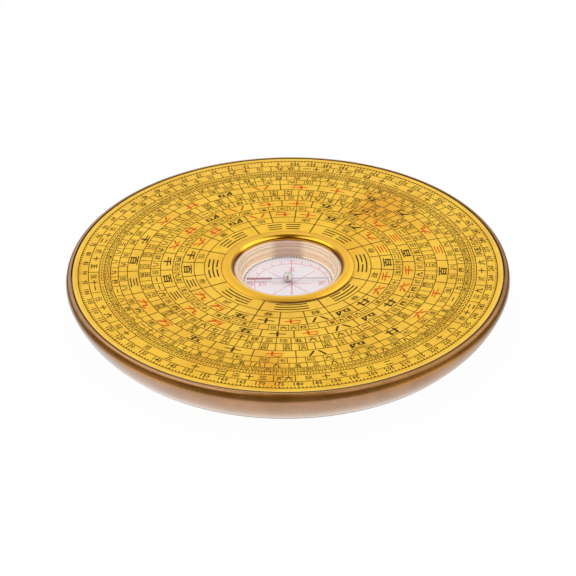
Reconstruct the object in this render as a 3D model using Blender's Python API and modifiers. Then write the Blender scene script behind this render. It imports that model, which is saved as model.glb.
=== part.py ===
"""A round geomancer's compass: a turned, lacquered body, a printed gold dial plate let into its top,
and a small clear compass capsule that a gilt bezel holds in the middle.

Metres, +Z up. The origin is the middle of the face that the compass stands on, and +X is to the
right for someone who reads the dial from the side at -Y. Everything round is turned about the Z axis.
"""

from math import cos, pi, radians, sin, sqrt

import bpy
from mathutils import Vector

MM = 0.001

# Overall sizes
PLATE_RADIUS = 62.0 * MM
BODY_HEIGHT = 11.5 * MM

# Clearances
EDGE_GAP = 0.25 * MM
SEAT_GAP = 0.15 * MM
FILM_GAP = 0.05 * MM
PIN_GAP = 0.05 * MM
TIP_GAP = 0.10 * MM

# Body: a flat land round the plate, a rounded shoulder and a bowl that draws in to the foot
LAND_WIDTH = 0.35 * MM
SHOULDER_WIDTH = 1.25 * MM
SHOULDER_DEPTH = 2.3 * MM
BOWL_INSET = 5.4 * MM
BOWL_SAG = 0.72 * MM
FOOT_CHAMFER = 0.25 * MM
FOOT_WIDTH = 2.2 * MM

# Dial plate and the adhesive film that holds it
PLATE_THICKNESS = 1.0 * MM
PLATE_BEVEL = 0.2 * MM
FILM_THICKNESS = 0.15 * MM
FILM_MARGIN = 0.8 * MM

# Bezel: a rounded ring let into the plate's hole, with a tongue in a groove of the body
BEZEL_LIP_OVERLAP = 0.9 * MM
BEZEL_BRIM = 0.6 * MM
BEZEL_EDGE_DROP = 0.15 * MM
BEZEL_CREST_RISE = 0.45 * MM
BEZEL_CREST_WIDTH = 1.3 * MM
BEZEL_LIP_DROP = 0.65 * MM
BEZEL_LIP_THICKNESS = 0.15 * MM
COLLAR_WIDTH = 0.65 * MM
TONGUE_WIDTH = 1.1 * MM
TONGUE_DEPTH = 2.0 * MM

# Clear capsule: a flanged cup with a stepped wall, and a flat lens on the step
CUP_INNER_RADIUS = 13.6 * MM
CUP_WALL = 1.5 * MM
CUP_FLOOR = 1.1 * MM
FLANGE_WIDTH = 1.2 * MM
FLANGE_THICKNESS = 1.15 * MM
STEP_WIDTH = 0.85 * MM
LENS_THICKNESS = 1.3 * MM
LENS_BEVEL = 0.15 * MM
LENS_TO_HUB = 0.45 * MM
WELL_SPARE_DEPTH = 0.6 * MM

# Card and the wire ring that holds it down
CARD_THICKNESS = 0.3 * MM
CARD_RING_WIRE = 0.4 * MM

# Pivot: a brass bush in the cup's floor, and a steel pin with a cone tip
PIN_RADIUS = 0.35 * MM
PIN_TIP_RADIUS = 0.04 * MM
PIN_TIP_LENGTH = 0.9 * MM
BUSH_WALL = 0.7 * MM

# Needle: a flat steel strip with an eye in the middle, and a sleeve on its north arm
NEEDLE_HEIGHT = 0.95 * MM
NEEDLE_END_GAP = 1.7 * MM
STRIP_WIDTH = 0.3 * MM
STRIP_THICKNESS = 0.2 * MM
STRIP_POINT = 0.5 * MM
EYE_INSET = 0.15 * MM
EYE_CLEARANCE = 0.25 * MM
SLEEVE_WALL = 0.09 * MM
SLEEVE_FIT_GAP = 0.03 * MM
SLEEVE_LENGTH = 7.3 * MM
SLEEVE_END = 0.3 * MM

# Hub: a domed cap over a cup jewel, and a collar under the eye
JEWEL_RADIUS = 0.85 * MM
JEWEL_HEIGHT = 0.9 * MM
JEWEL_RIM = 0.3 * MM
JEWEL_CUP_DEPTH = 0.4 * MM
HUB_WALL = 0.4 * MM
HUB_ROOF = 0.35 * MM
HUB_DOME = 0.3 * MM
HUB_COLLAR_HEIGHT = 0.35 * MM
HUB_COLLAR_WALL = 0.35 * MM

# Base pad: a rubber disc let into the underside, standing a little proud
PAD_THICKNESS = 0.85 * MM
PAD_PROUD = 0.4 * MM

# Number of flats round each turned piece, and of steps along its curves
BODY_FLATS = 72
BEZEL_FLATS = 60
CAPSULE_FLATS = 40
SMALL_FLATS = 20
CURVE_STEPS = 6
WIRE_FLATS = 6
MERGE_DISTANCE = 0.001 * MM
SHARP_ANGLE = radians(32)

# Radii in the capsule and the bezel, from the cup's bore outwards
cup_outer_radius = CUP_INNER_RADIUS + CUP_WALL
rabbet_radius = CUP_INNER_RADIUS + STEP_WIDTH
lens_radius = rabbet_radius - SEAT_GAP
flange_radius = cup_outer_radius + FLANGE_WIDTH
card_radius = CUP_INNER_RADIUS - EDGE_GAP
well_radius = cup_outer_radius + EDGE_GAP
counterbore_radius = flange_radius + EDGE_GAP
groove_inner_radius = counterbore_radius + COLLAR_WIDTH
tongue_inner_radius = groove_inner_radius + EDGE_GAP
tongue_outer_radius = tongue_inner_radius + TONGUE_WIDTH
groove_outer_radius = tongue_outer_radius + EDGE_GAP
bezel_radius = tongue_outer_radius + BEZEL_BRIM
window_radius = flange_radius - BEZEL_LIP_OVERLAP
plate_hole_radius = bezel_radius + EDGE_GAP

# Radii of the body, from the plate's edge outwards and back to the foot
recess_radius = PLATE_RADIUS + EDGE_GAP
land_radius = recess_radius + LAND_WIDTH
body_radius = land_radius + SHOULDER_WIDTH
foot_radius = body_radius - BOWL_INSET
pad_recess_radius = foot_radius - FOOT_CHAMFER - FOOT_WIDTH

# Radii and lengths of the pivot, the hub and the needle
bush_bore_radius = PIN_RADIUS + PIN_GAP
bush_radius = bush_bore_radius + BUSH_WALL
bush_hole_radius = bush_radius + EDGE_GAP
card_hole_radius = PIN_RADIUS + EDGE_GAP
eye_hole_radius = PIN_RADIUS + EYE_CLEARANCE
hub_bore_radius = JEWEL_RADIUS + TIP_GAP
hub_radius = hub_bore_radius + HUB_WALL
eye_radius = hub_radius - EYE_INSET
collar_radius = eye_hole_radius + HUB_COLLAR_WALL
hub_height = TIP_GAP + JEWEL_HEIGHT + SEAT_GAP + HUB_ROOF - FILM_GAP
south_length = CUP_INNER_RADIUS - NEEDLE_END_GAP
north_length = south_length - SLEEVE_END
sleeve_bore_radius = sqrt(STRIP_WIDTH ** 2 + STRIP_THICKNESS ** 2) / 2 + SLEEVE_FIT_GAP
sleeve_radius = sleeve_bore_radius + SLEEVE_WALL

# Levels of the body and the plate, from the foot upwards
body_bottom = PAD_PROUD
rim_top = body_bottom + BODY_HEIGHT
plate_top = rim_top
plate_bottom = plate_top - PLATE_THICKNESS
film_top = plate_bottom - FILM_GAP
recess_floor = film_top - FILM_THICKNESS - FILM_GAP

# Levels in the capsule, from the bezel's lip downwards
lip_bottom = plate_top - BEZEL_LIP_DROP - BEZEL_LIP_THICKNESS
cup_top = lip_bottom - SEAT_GAP
ledge_top = cup_top - FLANGE_THICKNESS - SEAT_GAP
lens_bottom = cup_top - LENS_THICKNESS
lens_step = lens_bottom - SEAT_GAP
hub_top = lens_bottom - LENS_TO_HUB
cap_bottom = hub_top - hub_height
strip_top = cap_bottom - FILM_GAP
strip_middle = strip_top - STRIP_THICKNESS / 2
strip_bottom = strip_top - STRIP_THICKNESS
jewel_bottom = strip_top + TIP_GAP
pin_top = jewel_bottom + JEWEL_CUP_DEPTH - TIP_GAP
card_top = strip_middle - NEEDLE_HEIGHT
card_bottom = card_top - CARD_THICKNESS
cup_floor_top = card_bottom - FILM_GAP
cup_bottom = cup_floor_top - CUP_FLOOR
well_floor = cup_bottom - WELL_SPARE_DEPTH


# Tools for the model

def start_empty():
    """Take everything out of the scene and make a collection for the compass."""
    for old in list(bpy.data.objects):
        bpy.data.objects.remove(old, do_unlink=True)
    parts = bpy.data.collections.new("geomancers_compass")
    bpy.context.scene.collection.children.link(parts)
    return parts


def material(name, colour, roughness, metallic=0.0, alpha=1.0):
    """A Principled material of one colour."""
    made = bpy.data.materials.new(name)
    made.use_nodes = True
    shader = made.node_tree.nodes["Principled BSDF"]
    shader.inputs["Base Color"].default_value = (*colour, 1.0)
    shader.inputs["Roughness"].default_value = roughness
    shader.inputs["Metallic"].default_value = metallic
    shader.inputs["Alpha"].default_value = alpha
    made.diffuse_color = (*colour, alpha)
    return made


def curved(center, across, up, start, end, steps=CURVE_STEPS):
    """Points on an elliptical arc, angles in degrees from the +r direction towards +z."""
    points = []
    for step in range(steps + 1):
        angle = radians(start + (end - start) * step / steps)
        points.append((center[0] + across * cos(angle), center[1] + up * sin(angle)))
    return points


def bowed(start, end, sag, steps=CURVE_STEPS):
    """Points on a shallow arc from start to end that swells by sag to the left of its way down."""
    run = Vector(end) - Vector(start)
    out = Vector((-run.y, run.x)).normalized()
    points = []
    for step in range(steps + 1):
        share = step / steps
        point = Vector(start) + run * share + out * (4 * sag * share * (1 - share))
        points.append((point.x, point.y))
    return points


def settle(made):
    """Turn the modifiers into mesh, and shade it smooth with crisp edges."""
    graph = bpy.context.evaluated_depsgraph_get()
    mesh = bpy.data.meshes.new_from_object(made.evaluated_get(graph))
    made.modifiers.clear()
    made.data = mesh
    mesh.name = made.name
    mesh.shade_smooth()
    mesh.set_sharp_from_angle(angle=SHARP_ANGLE)
    return made


def turned(name, profile, finish, flats, ring=False):
    """Turn a profile of (radius, height) points about Z; a ring's profile closes on itself."""
    count = len(profile)
    edges = [(index, index + 1) for index in range(count - 1)]
    if ring:
        edges.append((count - 1, 0))
    mesh = bpy.data.meshes.new(name)
    mesh.from_pydata([(radius, 0, height) for radius, height in profile], edges, [])
    made = bpy.data.objects.new(name, mesh)
    parts.objects.link(made)
    screw = made.modifiers.new("Turn", "SCREW")
    screw.steps = flats
    screw.render_steps = flats
    screw.use_merge_vertices = True
    screw.merge_threshold = MERGE_DISTANCE
    settle(made)
    made.data.materials.append(finish)
    return made


def hang(made, parent):
    """Parent a piece to an empty, in whose own space the piece's mesh and place are written."""
    made.parent = parent
    return made


# The body

def base_body(finish):
    """The body from the middle of its well, over the rim and down to the pad's recess."""
    profile = [
        (0, well_floor),
        (well_radius, well_floor),
        (well_radius, ledge_top),
        (counterbore_radius, ledge_top),
        (counterbore_radius, lip_bottom - SEAT_GAP),
        (groove_inner_radius, lip_bottom - SEAT_GAP),
        (groove_inner_radius, recess_floor - TONGUE_DEPTH - SEAT_GAP),
        (groove_outer_radius, recess_floor - TONGUE_DEPTH - SEAT_GAP),
        (groove_outer_radius, recess_floor),
        (recess_radius, recess_floor),
        (recess_radius, rim_top),
    ]
    profile += curved((land_radius, rim_top - SHOULDER_DEPTH), SHOULDER_WIDTH, SHOULDER_DEPTH, 90, 0)
    foot_edge = (foot_radius, body_bottom + FOOT_CHAMFER)
    profile += bowed((body_radius, rim_top - SHOULDER_DEPTH), foot_edge, BOWL_SAG)[1:]
    profile += [
        (foot_radius - FOOT_CHAMFER, body_bottom),
        (pad_recess_radius, body_bottom),
        (pad_recess_radius, PAD_THICKNESS + SEAT_GAP),
        (0, PAD_THICKNESS + SEAT_GAP),
    ]
    return turned("base_body", profile, finish, BODY_FLATS)


def base_pad(finish):
    """The rubber disc in the underside; its lower face is what the compass stands on."""
    radius = pad_recess_radius - EDGE_GAP
    profile = [(0, PAD_THICKNESS), (radius, PAD_THICKNESS), (radius, 0), (0, 0)]
    return turned("base_pad", profile, finish, BODY_FLATS)


# The dial plate

def dial_plate(finish):
    """The printed plate, with a fine bevel round its top edge."""
    profile = [
        (plate_hole_radius, PLATE_THICKNESS),
        (PLATE_RADIUS - PLATE_BEVEL, PLATE_THICKNESS),
        (PLATE_RADIUS, PLATE_THICKNESS - PLATE_BEVEL),
        (PLATE_RADIUS, 0),
        (plate_hole_radius, 0),
    ]
    plate = turned("dial_plate", profile, finish, BODY_FLATS, ring=True)
    plate.location.z = plate_bottom
    return plate


def plate_film(finish):
    """The adhesive film between the plate and the floor of the body's recess."""
    inner = plate_hole_radius + FILM_MARGIN
    outer = PLATE_RADIUS - FILM_MARGIN
    profile = [(inner, FILM_THICKNESS), (outer, FILM_THICKNESS), (outer, 0), (inner, 0)]
    film = turned("plate_film", profile, finish, BODY_FLATS, ring=True)
    film.location.z = film_top - FILM_THICKNESS
    return film


# The bezel

def bezel_ring(finish):
    """The gilt ring: it swells from the plate to a crest, then rolls down over the capsule's flange."""
    crest_radius = window_radius + BEZEL_CREST_WIDTH
    edge_level = plate_top - BEZEL_EDGE_DROP
    lip_level = plate_top - BEZEL_LIP_DROP
    crest_level = plate_top + BEZEL_CREST_RISE
    swell_width = bezel_radius - crest_radius
    outer_swell = curved((crest_radius, edge_level), swell_width, crest_level - edge_level, 90, 0)
    inner_roll = curved((crest_radius, lip_level), BEZEL_CREST_WIDTH, crest_level - lip_level, 180, 90)
    profile = inner_roll + outer_swell[1:]
    profile += [
        (bezel_radius, recess_floor + SEAT_GAP),
        (tongue_outer_radius, recess_floor + SEAT_GAP),
        (tongue_outer_radius, recess_floor - TONGUE_DEPTH),
        (tongue_inner_radius, recess_floor - TONGUE_DEPTH),
        (tongue_inner_radius, lip_bottom),
        (window_radius, lip_bottom),
    ]
    profile = [(radius, level - plate_top) for radius, level in profile]
    bezel = turned("bezel_ring", profile, finish, BEZEL_FLATS, ring=True)
    bezel.location.z = plate_top
    return bezel


# The capsule

def capsule_cup(finish):
    """The clear cup: a flange on the body's ledge, a rabbet for the lens and a bored floor."""
    profile = [
        (bush_hole_radius, cup_floor_top),
        (CUP_INNER_RADIUS, cup_floor_top),
        (CUP_INNER_RADIUS, lens_step),
        (rabbet_radius, lens_step),
        (rabbet_radius, cup_top),
        (flange_radius, cup_top),
        (flange_radius, cup_top - FLANGE_THICKNESS),
        (cup_outer_radius, cup_top - FLANGE_THICKNESS),
        (cup_outer_radius, cup_bottom),
        (bush_hole_radius, cup_bottom),
    ]
    profile = [(radius, level - cup_bottom) for radius, level in profile]
    cup = turned("capsule_cup", profile, finish, CAPSULE_FLATS, ring=True)
    cup.location.z = cup_bottom
    return cup


def capsule_lens(finish):
    """The clear cover, flat on both faces, with its top edge broken."""
    profile = [
        (0, LENS_THICKNESS),
        (lens_radius - LENS_BEVEL, LENS_THICKNESS),
        (lens_radius, LENS_THICKNESS - LENS_BEVEL),
        (lens_radius, 0),
        (0, 0),
    ]
    lens = turned("capsule_lens", profile, finish, CAPSULE_FLATS)
    lens.location.z = lens_bottom
    return lens


def compass_card(finish):
    """The printed card on the cup's floor, bored for the pivot pin."""
    profile = [
        (card_hole_radius, CARD_THICKNESS),
        (card_radius, CARD_THICKNESS),
        (card_radius, 0),
        (card_hole_radius, 0),
    ]
    card = turned("compass_card", profile, finish, CAPSULE_FLATS, ring=True)
    card.location.z = card_bottom
    return card


def card_ring(finish):
    """The wire ring that holds the card's edge down."""
    wire = CARD_RING_WIRE / 2
    middle = CUP_INNER_RADIUS - EDGE_GAP / 2 - wire
    profile = curved((middle, wire), wire, wire, 180, -180, WIRE_FLATS)[:-1]
    ring = turned("card_ring", profile, finish, CAPSULE_FLATS, ring=True)
    ring.location.z = card_top + FILM_GAP
    return ring


# The pivot

def pivot_bush(finish):
    """The brass bush in the cup's floor, flush with it under the card."""
    profile = [
        (bush_bore_radius, CUP_FLOOR),
        (bush_radius, CUP_FLOOR),
        (bush_radius, 0),
        (bush_bore_radius, 0),
    ]
    bush = turned("pivot_bush", profile, finish, SMALL_FLATS, ring=True)
    bush.location.z = cup_bottom
    return bush


def pivot_pin(finish):
    """The steel pin, from the foot of the bush up to the fine tip that the jewel rides on."""
    length = pin_top - cup_bottom
    profile = [
        (0, length),
        (PIN_TIP_RADIUS, length - PIN_TIP_RADIUS),
        (PIN_RADIUS, length - PIN_TIP_LENGTH),
        (PIN_RADIUS, 0),
        (0, 0),
    ]
    pin = turned("pivot_pin", profile, finish, SMALL_FLATS)
    pin.location.z = cup_bottom
    return pin


# The needle, whose parts hang on one empty at the tip of the pin

def needle_axis():
    """The empty that the needle turns about."""
    axis = bpy.data.objects.new("needle_axis", None)
    axis.location = (0, 0, pin_top)
    axis.empty_display_size = hub_radius
    parts.objects.link(axis)
    return axis


def strip_outline():
    """Half turns of the eye joined to two pointed arms, as one closed outline."""
    half = STRIP_WIDTH / 2
    reach = sqrt(eye_radius ** 2 - half ** 2)
    spread = 2 * SMALL_FLATS // 4
    arm_angle = Vector((reach, half)).angle(Vector((reach, 0)))
    south_arm = [
        (south_length - STRIP_POINT, -half),
        (south_length, 0),
        (south_length - STRIP_POINT, half),
    ]
    north_arm = [
        (-north_length + STRIP_POINT, half),
        (-north_length, 0),
        (-north_length + STRIP_POINT, -half),
    ]
    far_eye = []
    near_eye = []
    for step in range(spread + 1):
        angle = arm_angle + (pi - 2 * arm_angle) * step / spread
        far_eye.append((eye_radius * cos(angle), eye_radius * sin(angle)))
        near_eye.append((-eye_radius * cos(angle), -eye_radius * sin(angle)))
    return south_arm + far_eye + north_arm + near_eye


def needle_strip(finish, axis):
    """The steel strip with its eye, cut from sheet."""
    hole = []
    for step in range(SMALL_FLATS):
        angle = 2 * pi * step / SMALL_FLATS
        hole.append((eye_hole_radius * cos(angle), eye_hole_radius * sin(angle)))
    curve = bpy.data.curves.new("needle_strip", "CURVE")
    curve.dimensions = "2D"
    curve.fill_mode = "BOTH"
    curve.extrude = STRIP_THICKNESS / 2
    for outline in (strip_outline(), hole):
        spline = curve.splines.new("POLY")
        spline.points.add(len(outline) - 1)
        for point, (x, y) in zip(spline.points, outline):
            point.co = (x, y, 0, 1)
        spline.use_cyclic_u = True
    curve.materials.append(finish)
    strip = bpy.data.objects.new("needle_strip", curve)
    strip.location.z = strip_middle - pin_top
    parts.objects.link(strip)
    return hang(strip, axis)


def north_sleeve(finish, axis):
    """The red sleeve: a blind tube over the end of the north arm, turned upright and laid along -X."""
    bore_depth = SLEEVE_LENGTH - SLEEVE_END
    profile = [
        (0, 0),
        (sleeve_radius, 0),
        (sleeve_radius, -SLEEVE_LENGTH),
        (sleeve_bore_radius, -SLEEVE_LENGTH),
        (sleeve_bore_radius, -SLEEVE_LENGTH + bore_depth),
        (0, -SLEEVE_LENGTH + bore_depth),
    ]
    sleeve = turned("north_sleeve", profile, finish, SMALL_FLATS // 2)
    sleeve.rotation_euler.y = -pi / 2
    sleeve.location.x = -north_length - SLEEVE_FIT_GAP - SLEEVE_END
    sleeve.location.z = strip_middle - pin_top
    return hang(sleeve, axis)


def hub_cap(finish, axis):
    """The domed cap that stands on the eye and houses the jewel."""
    dome = curved((0, hub_height - HUB_DOME), hub_radius, HUB_DOME, 90, 0)
    profile = dome + [
        (hub_radius, 0),
        (hub_bore_radius, 0),
        (hub_bore_radius, hub_height - HUB_ROOF),
        (0, hub_height - HUB_ROOF),
    ]
    cap = turned("hub_cap", profile, finish, SMALL_FLATS)
    cap.location.z = cap_bottom - pin_top
    return hang(cap, axis)


def hub_jewel(finish, axis):
    """The jewel, hollowed from below into the cone that sits on the pin."""
    profile = [
        (0, JEWEL_HEIGHT),
        (JEWEL_RADIUS, JEWEL_HEIGHT),
        (JEWEL_RADIUS, 0),
        (JEWEL_RADIUS - JEWEL_RIM, 0),
        (0, JEWEL_CUP_DEPTH),
    ]
    jewel = turned("hub_jewel", profile, finish, SMALL_FLATS)
    jewel.location.z = jewel_bottom - pin_top
    return hang(jewel, axis)


def hub_collar(finish, axis):
    """The collar riveted under the eye."""
    profile = [
        (eye_hole_radius, HUB_COLLAR_HEIGHT),
        (collar_radius, HUB_COLLAR_HEIGHT),
        (collar_radius, 0),
        (eye_hole_radius, 0),
    ]
    collar = turned("hub_collar", profile, finish, SMALL_FLATS, ring=True)
    collar.location.z = strip_bottom - FILM_GAP - HUB_COLLAR_HEIGHT - pin_top
    return hang(collar, axis)


# Assembly

parts = start_empty()

bronze = material("bronze_lacquer", (0.26, 0.15, 0.07), 0.38, metallic=0.6)
dial_gold = material("dial_gold", (0.86, 0.52, 0.06), 0.45, metallic=0.3)
gilt = material("gilt", (0.87, 0.50, 0.07), 0.25, metallic=1.0)
acrylic = material("clear_acrylic", (0.92, 0.94, 0.95), 0.05, alpha=0.25)
card_white = material("card_white", (0.80, 0.72, 0.78), 0.6)
pale_wire = material("pale_wire", (0.85, 0.80, 0.55), 0.3, metallic=1.0)
brass = material("pivot_brass", (0.72, 0.53, 0.22), 0.3, metallic=1.0)
steel = material("needle_steel", (0.42, 0.43, 0.44), 0.35, metallic=1.0)
red = material("sleeve_red", (0.55, 0.05, 0.09), 0.35)
hub_metal = material("hub_metal", (0.62, 0.60, 0.52), 0.3, metallic=1.0)
jewel_glass = material("jewel_glass", (0.75, 0.78, 0.80), 0.1)
film_white = material("film_white", (0.75, 0.75, 0.72), 0.7)
rubber = material("pad_rubber", (0.03, 0.03, 0.03), 0.8)

base_body(bronze)
base_pad(rubber)
plate_film(film_white)
dial_plate(dial_gold)
bezel_ring(gilt)
capsule_cup(acrylic)
capsule_lens(acrylic)
compass_card(card_white)
card_ring(pale_wire)
pivot_bush(brass)
pivot_pin(steel)

axis = needle_axis()
needle_strip(steel, axis)
north_sleeve(red, axis)
hub_cap(hub_metal, axis)
hub_jewel(jewel_glass, axis)
hub_collar(hub_metal, axis)
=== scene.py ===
# %% [markdown]
# # A geomancer's compass, dressed
# The object is a round compass that lies flat on a table. Its body is turned and lacquered like bronze,
# and a gold dial plate let into the top carries rings of printed signs. In the middle a clear capsule
# holds a needle on a pin, and a gilt bezel holds the capsule. The construction is made already, so it
# is loaded first as a fixed frame, and every finished piece stands where its plain solid is. Everything
# is in metres, with +Z up and the reader at -Y.

# %% Load the frame
import random
from math import cos, pi, radians, sin

import bpy
from mathutils import Matrix, Vector


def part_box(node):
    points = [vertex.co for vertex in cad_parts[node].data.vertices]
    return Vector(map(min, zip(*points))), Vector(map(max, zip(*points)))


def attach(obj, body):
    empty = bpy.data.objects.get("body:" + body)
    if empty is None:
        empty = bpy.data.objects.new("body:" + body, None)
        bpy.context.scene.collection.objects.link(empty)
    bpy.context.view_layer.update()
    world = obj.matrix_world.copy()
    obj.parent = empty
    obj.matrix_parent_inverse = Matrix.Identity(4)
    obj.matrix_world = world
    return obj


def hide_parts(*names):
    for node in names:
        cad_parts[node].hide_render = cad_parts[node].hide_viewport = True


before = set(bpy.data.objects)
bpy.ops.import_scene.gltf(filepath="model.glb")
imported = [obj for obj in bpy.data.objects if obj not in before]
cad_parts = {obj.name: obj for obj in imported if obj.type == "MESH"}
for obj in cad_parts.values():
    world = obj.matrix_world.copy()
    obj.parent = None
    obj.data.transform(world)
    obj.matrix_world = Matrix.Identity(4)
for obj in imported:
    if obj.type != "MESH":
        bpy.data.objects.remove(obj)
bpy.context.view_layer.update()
print("solids:", ", ".join(sorted(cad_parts)))

# %% [markdown]
# ## Sizes
# Every size that a piece shares with its solid is read from the frame, so that the looks can't drift
# away from the construction. What the boxes don't tell, such as a wall inside a piece, is a named value
# beside the piece that needs it.

# %% Sizes from the frame
MM = 0.001
EDGE_GAP = 0.25 * MM
plate_low, plate_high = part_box("dial_plate")
body_low, body_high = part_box("base_body")
bezel_low, bezel_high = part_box("bezel_ring")
PLATE_RADIUS = plate_high.x
PLATE_TOP = plate_high.z
RECESS_RADIUS = PLATE_RADIUS + EDGE_GAP
BODY_RADIUS = body_high.x
RIM_TOP = body_high.z
FOOT_LEVEL = body_low.z
BEZEL_RADIUS = bezel_high.x
print("plate radius", round(PLATE_RADIUS / MM, 2), "mm, top at", round(PLATE_TOP / MM, 2), "mm")

# %% [markdown]
# ## Camera
# The photograph was matched by fitting the plate's round edge, which gives the height of the view, the
# distance and the lens at once: the nearer half of a circle looks larger than the farther half, and by
# how much tells the distance. The camera is built from these few measured values. Its three axes are
# written out as vectors, because that keeps the roll and the shift of the aim easy to follow.

# %% Camera
PHOTO_WIDTH = 576
SENSOR_WIDTH = 36.0
FOCAL_LENGTH_PIXELS = 2205.3
DISTANCE_SHARE = 10.242
CAMERA_ELEVATION = radians(33.2)
CAMERA_ROLL = radians(-0.66)
DIAL_CENTRE_PIXEL = (287.74, 265.77)


def place_camera():
    """Stand the camera so that the dial's centre falls on its pixel of the photograph."""
    camera = bpy.data.objects.new("camera", bpy.data.cameras.new("camera"))
    bpy.context.scene.collection.objects.link(camera)
    camera.data.sensor_width = SENSOR_WIDTH
    camera.data.lens = SENSOR_WIDTH * FOCAL_LENGTH_PIXELS / PHOTO_WIDTH
    back = Vector((0, -cos(CAMERA_ELEVATION), sin(CAMERA_ELEVATION)))
    level = Vector((1, 0, 0))
    upward = back.cross(level)
    right = level * cos(CAMERA_ROLL) + upward * sin(CAMERA_ROLL)
    top = upward * cos(CAMERA_ROLL) - level * sin(CAMERA_ROLL)
    distance = DISTANCE_SHARE * PLATE_RADIUS
    metres_per_pixel = distance / FOCAL_LENGTH_PIXELS
    across = (DIAL_CENTRE_PIXEL[0] - PHOTO_WIDTH / 2) * metres_per_pixel
    down = (DIAL_CENTRE_PIXEL[1] - PHOTO_WIDTH / 2) * metres_per_pixel
    place = Vector((0, 0, PLATE_TOP)) + back * distance - right * across + top * down
    axes = Matrix((right, top, back)).transposed().to_4x4()
    camera.matrix_world = Matrix.Translation(place) @ axes
    bpy.context.scene.camera = camera
    return camera


camera = place_camera()
bpy.context.scene.view_settings.view_transform = "Standard"
print("camera at", [round(value, 3) for value in camera.location], "lens", round(camera.data.lens, 1))

# %% [markdown]
# ## A small language for shaders
# A procedural finish is a network of nodes, and a network that is written node by node hides its idea.
# So one class wraps a socket that carries a number, and Python's own signs on it add the Math nodes.
# A second class makes every other node with one method. A finish then reads like a formula: a share of
# one colour, plus a share of another.

# %% Signals
class Signal:
    """A socket that carries a number; an expression on it adds the Math nodes that it needs."""

    def __init__(self, network, socket):
        self.network = network
        self.socket = socket

    def maths(self, operation, first, second):
        return self.network.add("ShaderNodeMath", {"operation": operation}, {0: first, 1: second})

    def __add__(self, other):
        return self.maths("ADD", self, other)

    def __sub__(self, other):
        return self.maths("SUBTRACT", self, other)

    def __rsub__(self, other):
        return self.maths("SUBTRACT", other, self)

    def __mul__(self, other):
        return self.maths("MULTIPLY", self, other)

    def __pow__(self, other):
        return self.maths("POWER", self, other)

    __radd__ = __add__
    __rmul__ = __mul__


print("signs on a signal: + - * **")


# %% Networks
class Network:
    """The nodes of one material or of the world."""

    def __init__(self, tree):
        self.tree = tree

    def add(self, kind, settings=None, inputs=None, output=0):
        """Make a node: its settings first, then the values or links of its sockets."""
        node = self.tree.nodes.new(kind)
        for name, value in (settings or {}).items():
            setattr(node, name, value)
        for name, value in (inputs or {}).items():
            self.feed(node.inputs[name], value)
        return Signal(self, node.outputs[output])

    def feed(self, socket, value):
        """Link a signal to a socket, or write a plain value there."""
        if isinstance(value, Signal):
            self.tree.links.new(value.socket, socket)
        elif socket.type == "RGBA" and len(value) == 3:
            socket.default_value = (*value, 1.0)
        else:
            socket.default_value = value

    def between(self, signal, low, high):
        """0 below low, 1 above high and a smooth step in between."""
        values = {"Value": signal, "From Min": low, "From Max": high}
        return self.add("ShaderNodeMapRange", {"interpolation_type": "SMOOTHSTEP"}, values)

    def until(self, signal, low, high):
        """1 below low, 0 above high and a smooth step in between."""
        return 1 - self.between(signal, low, high)

    def mix(self, share, first, second):
        """One colour where the share is 0, the other where it is 1."""
        return self.add("ShaderNodeMix", {"data_type": "RGBA"}, {0: share, 6: first, 7: second}, output=2)

    def part(self, vector, axis):
        """The part of a vector along X, Y or Z, with 0, 1 or 2 for the axis."""
        return self.add("ShaderNodeSeparateXYZ", {}, {0: vector}, output=axis)

    def measure(self, operation, first, second=(0, 0, 0)):
        """A number worked out from one or two vectors, such as a length or a distance."""
        settings = {"operation": operation}
        return self.add("ShaderNodeVectorMath", settings, {0: first, 1: second}, output="Value")


print("a network adds nodes, steps, mixes and measures")

# %% [markdown]
# ## Finishes
# The finishes change from place to place: the foot is paler than the shoulder, and the sides of a ring
# look different from its front. So a finish can ask where a point lies, in the object's own
# coordinates, which stay with the piece when it moves.

# %% Finishes
class Finish(Network):
    """A material with one Principled shader, whose sockets take values or signals."""

    def __init__(self, name):
        self.material = bpy.data.materials.new(name)
        self.material.use_nodes = True
        super().__init__(self.material.node_tree)

    def place(self, scale=(1, 1, 1)):
        """The point on the object, in metres, scaled."""
        point = self.add("ShaderNodeTexCoord", output="Object")
        return self.add("ShaderNodeMapping", {}, {"Vector": point, "Scale": scale})

    def reach(self):
        """The distance from the Z axis."""
        return self.measure("LENGTH", self.place(scale=(1, 1, 0)))

    def along(self, axis):
        """The place along X, Y or Z, with 0, 1 or 2 for the axis."""
        return self.part(self.place(), axis)

    def beside(self, low, high):
        """0 in the middle of the dial and 1 to its left and right."""
        across = self.along(0)
        return self.between((across * across) ** 0.5, low, high)

    def noise(self, size, detail=2.0, roughness=0.5, stretch=(1, 1, 1)):
        """Cloudy noise from 0 to 1 whose spots are about the given size in metres."""
        values = {"Vector": self.place(stretch), "Scale": 1 / size, "Detail": detail, "Roughness": roughness}
        return self.add("ShaderNodeTexNoise", {}, values)

    def specks(self, size):
        """Distance to the nearest of many scattered points, which lie about the given size apart."""
        return self.add("ShaderNodeTexVoronoi", {}, {"Vector": self.place(), "Scale": 1 / size})

    def bump(self, height, depth):
        """A normal that follows a height from 0 to 1, worth the given depth in metres."""
        return self.add("ShaderNodeBump", {}, {"Height": height, "Distance": depth})

    def surface(self, **sockets):
        shader = self.tree.nodes["Principled BSDF"]
        for name, value in sockets.items():
            self.feed(shader.inputs[name.replace("_", " ")], value)
        print("finish", self.material.name, "has", len(self.tree.nodes), "nodes")
        return self.material


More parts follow.
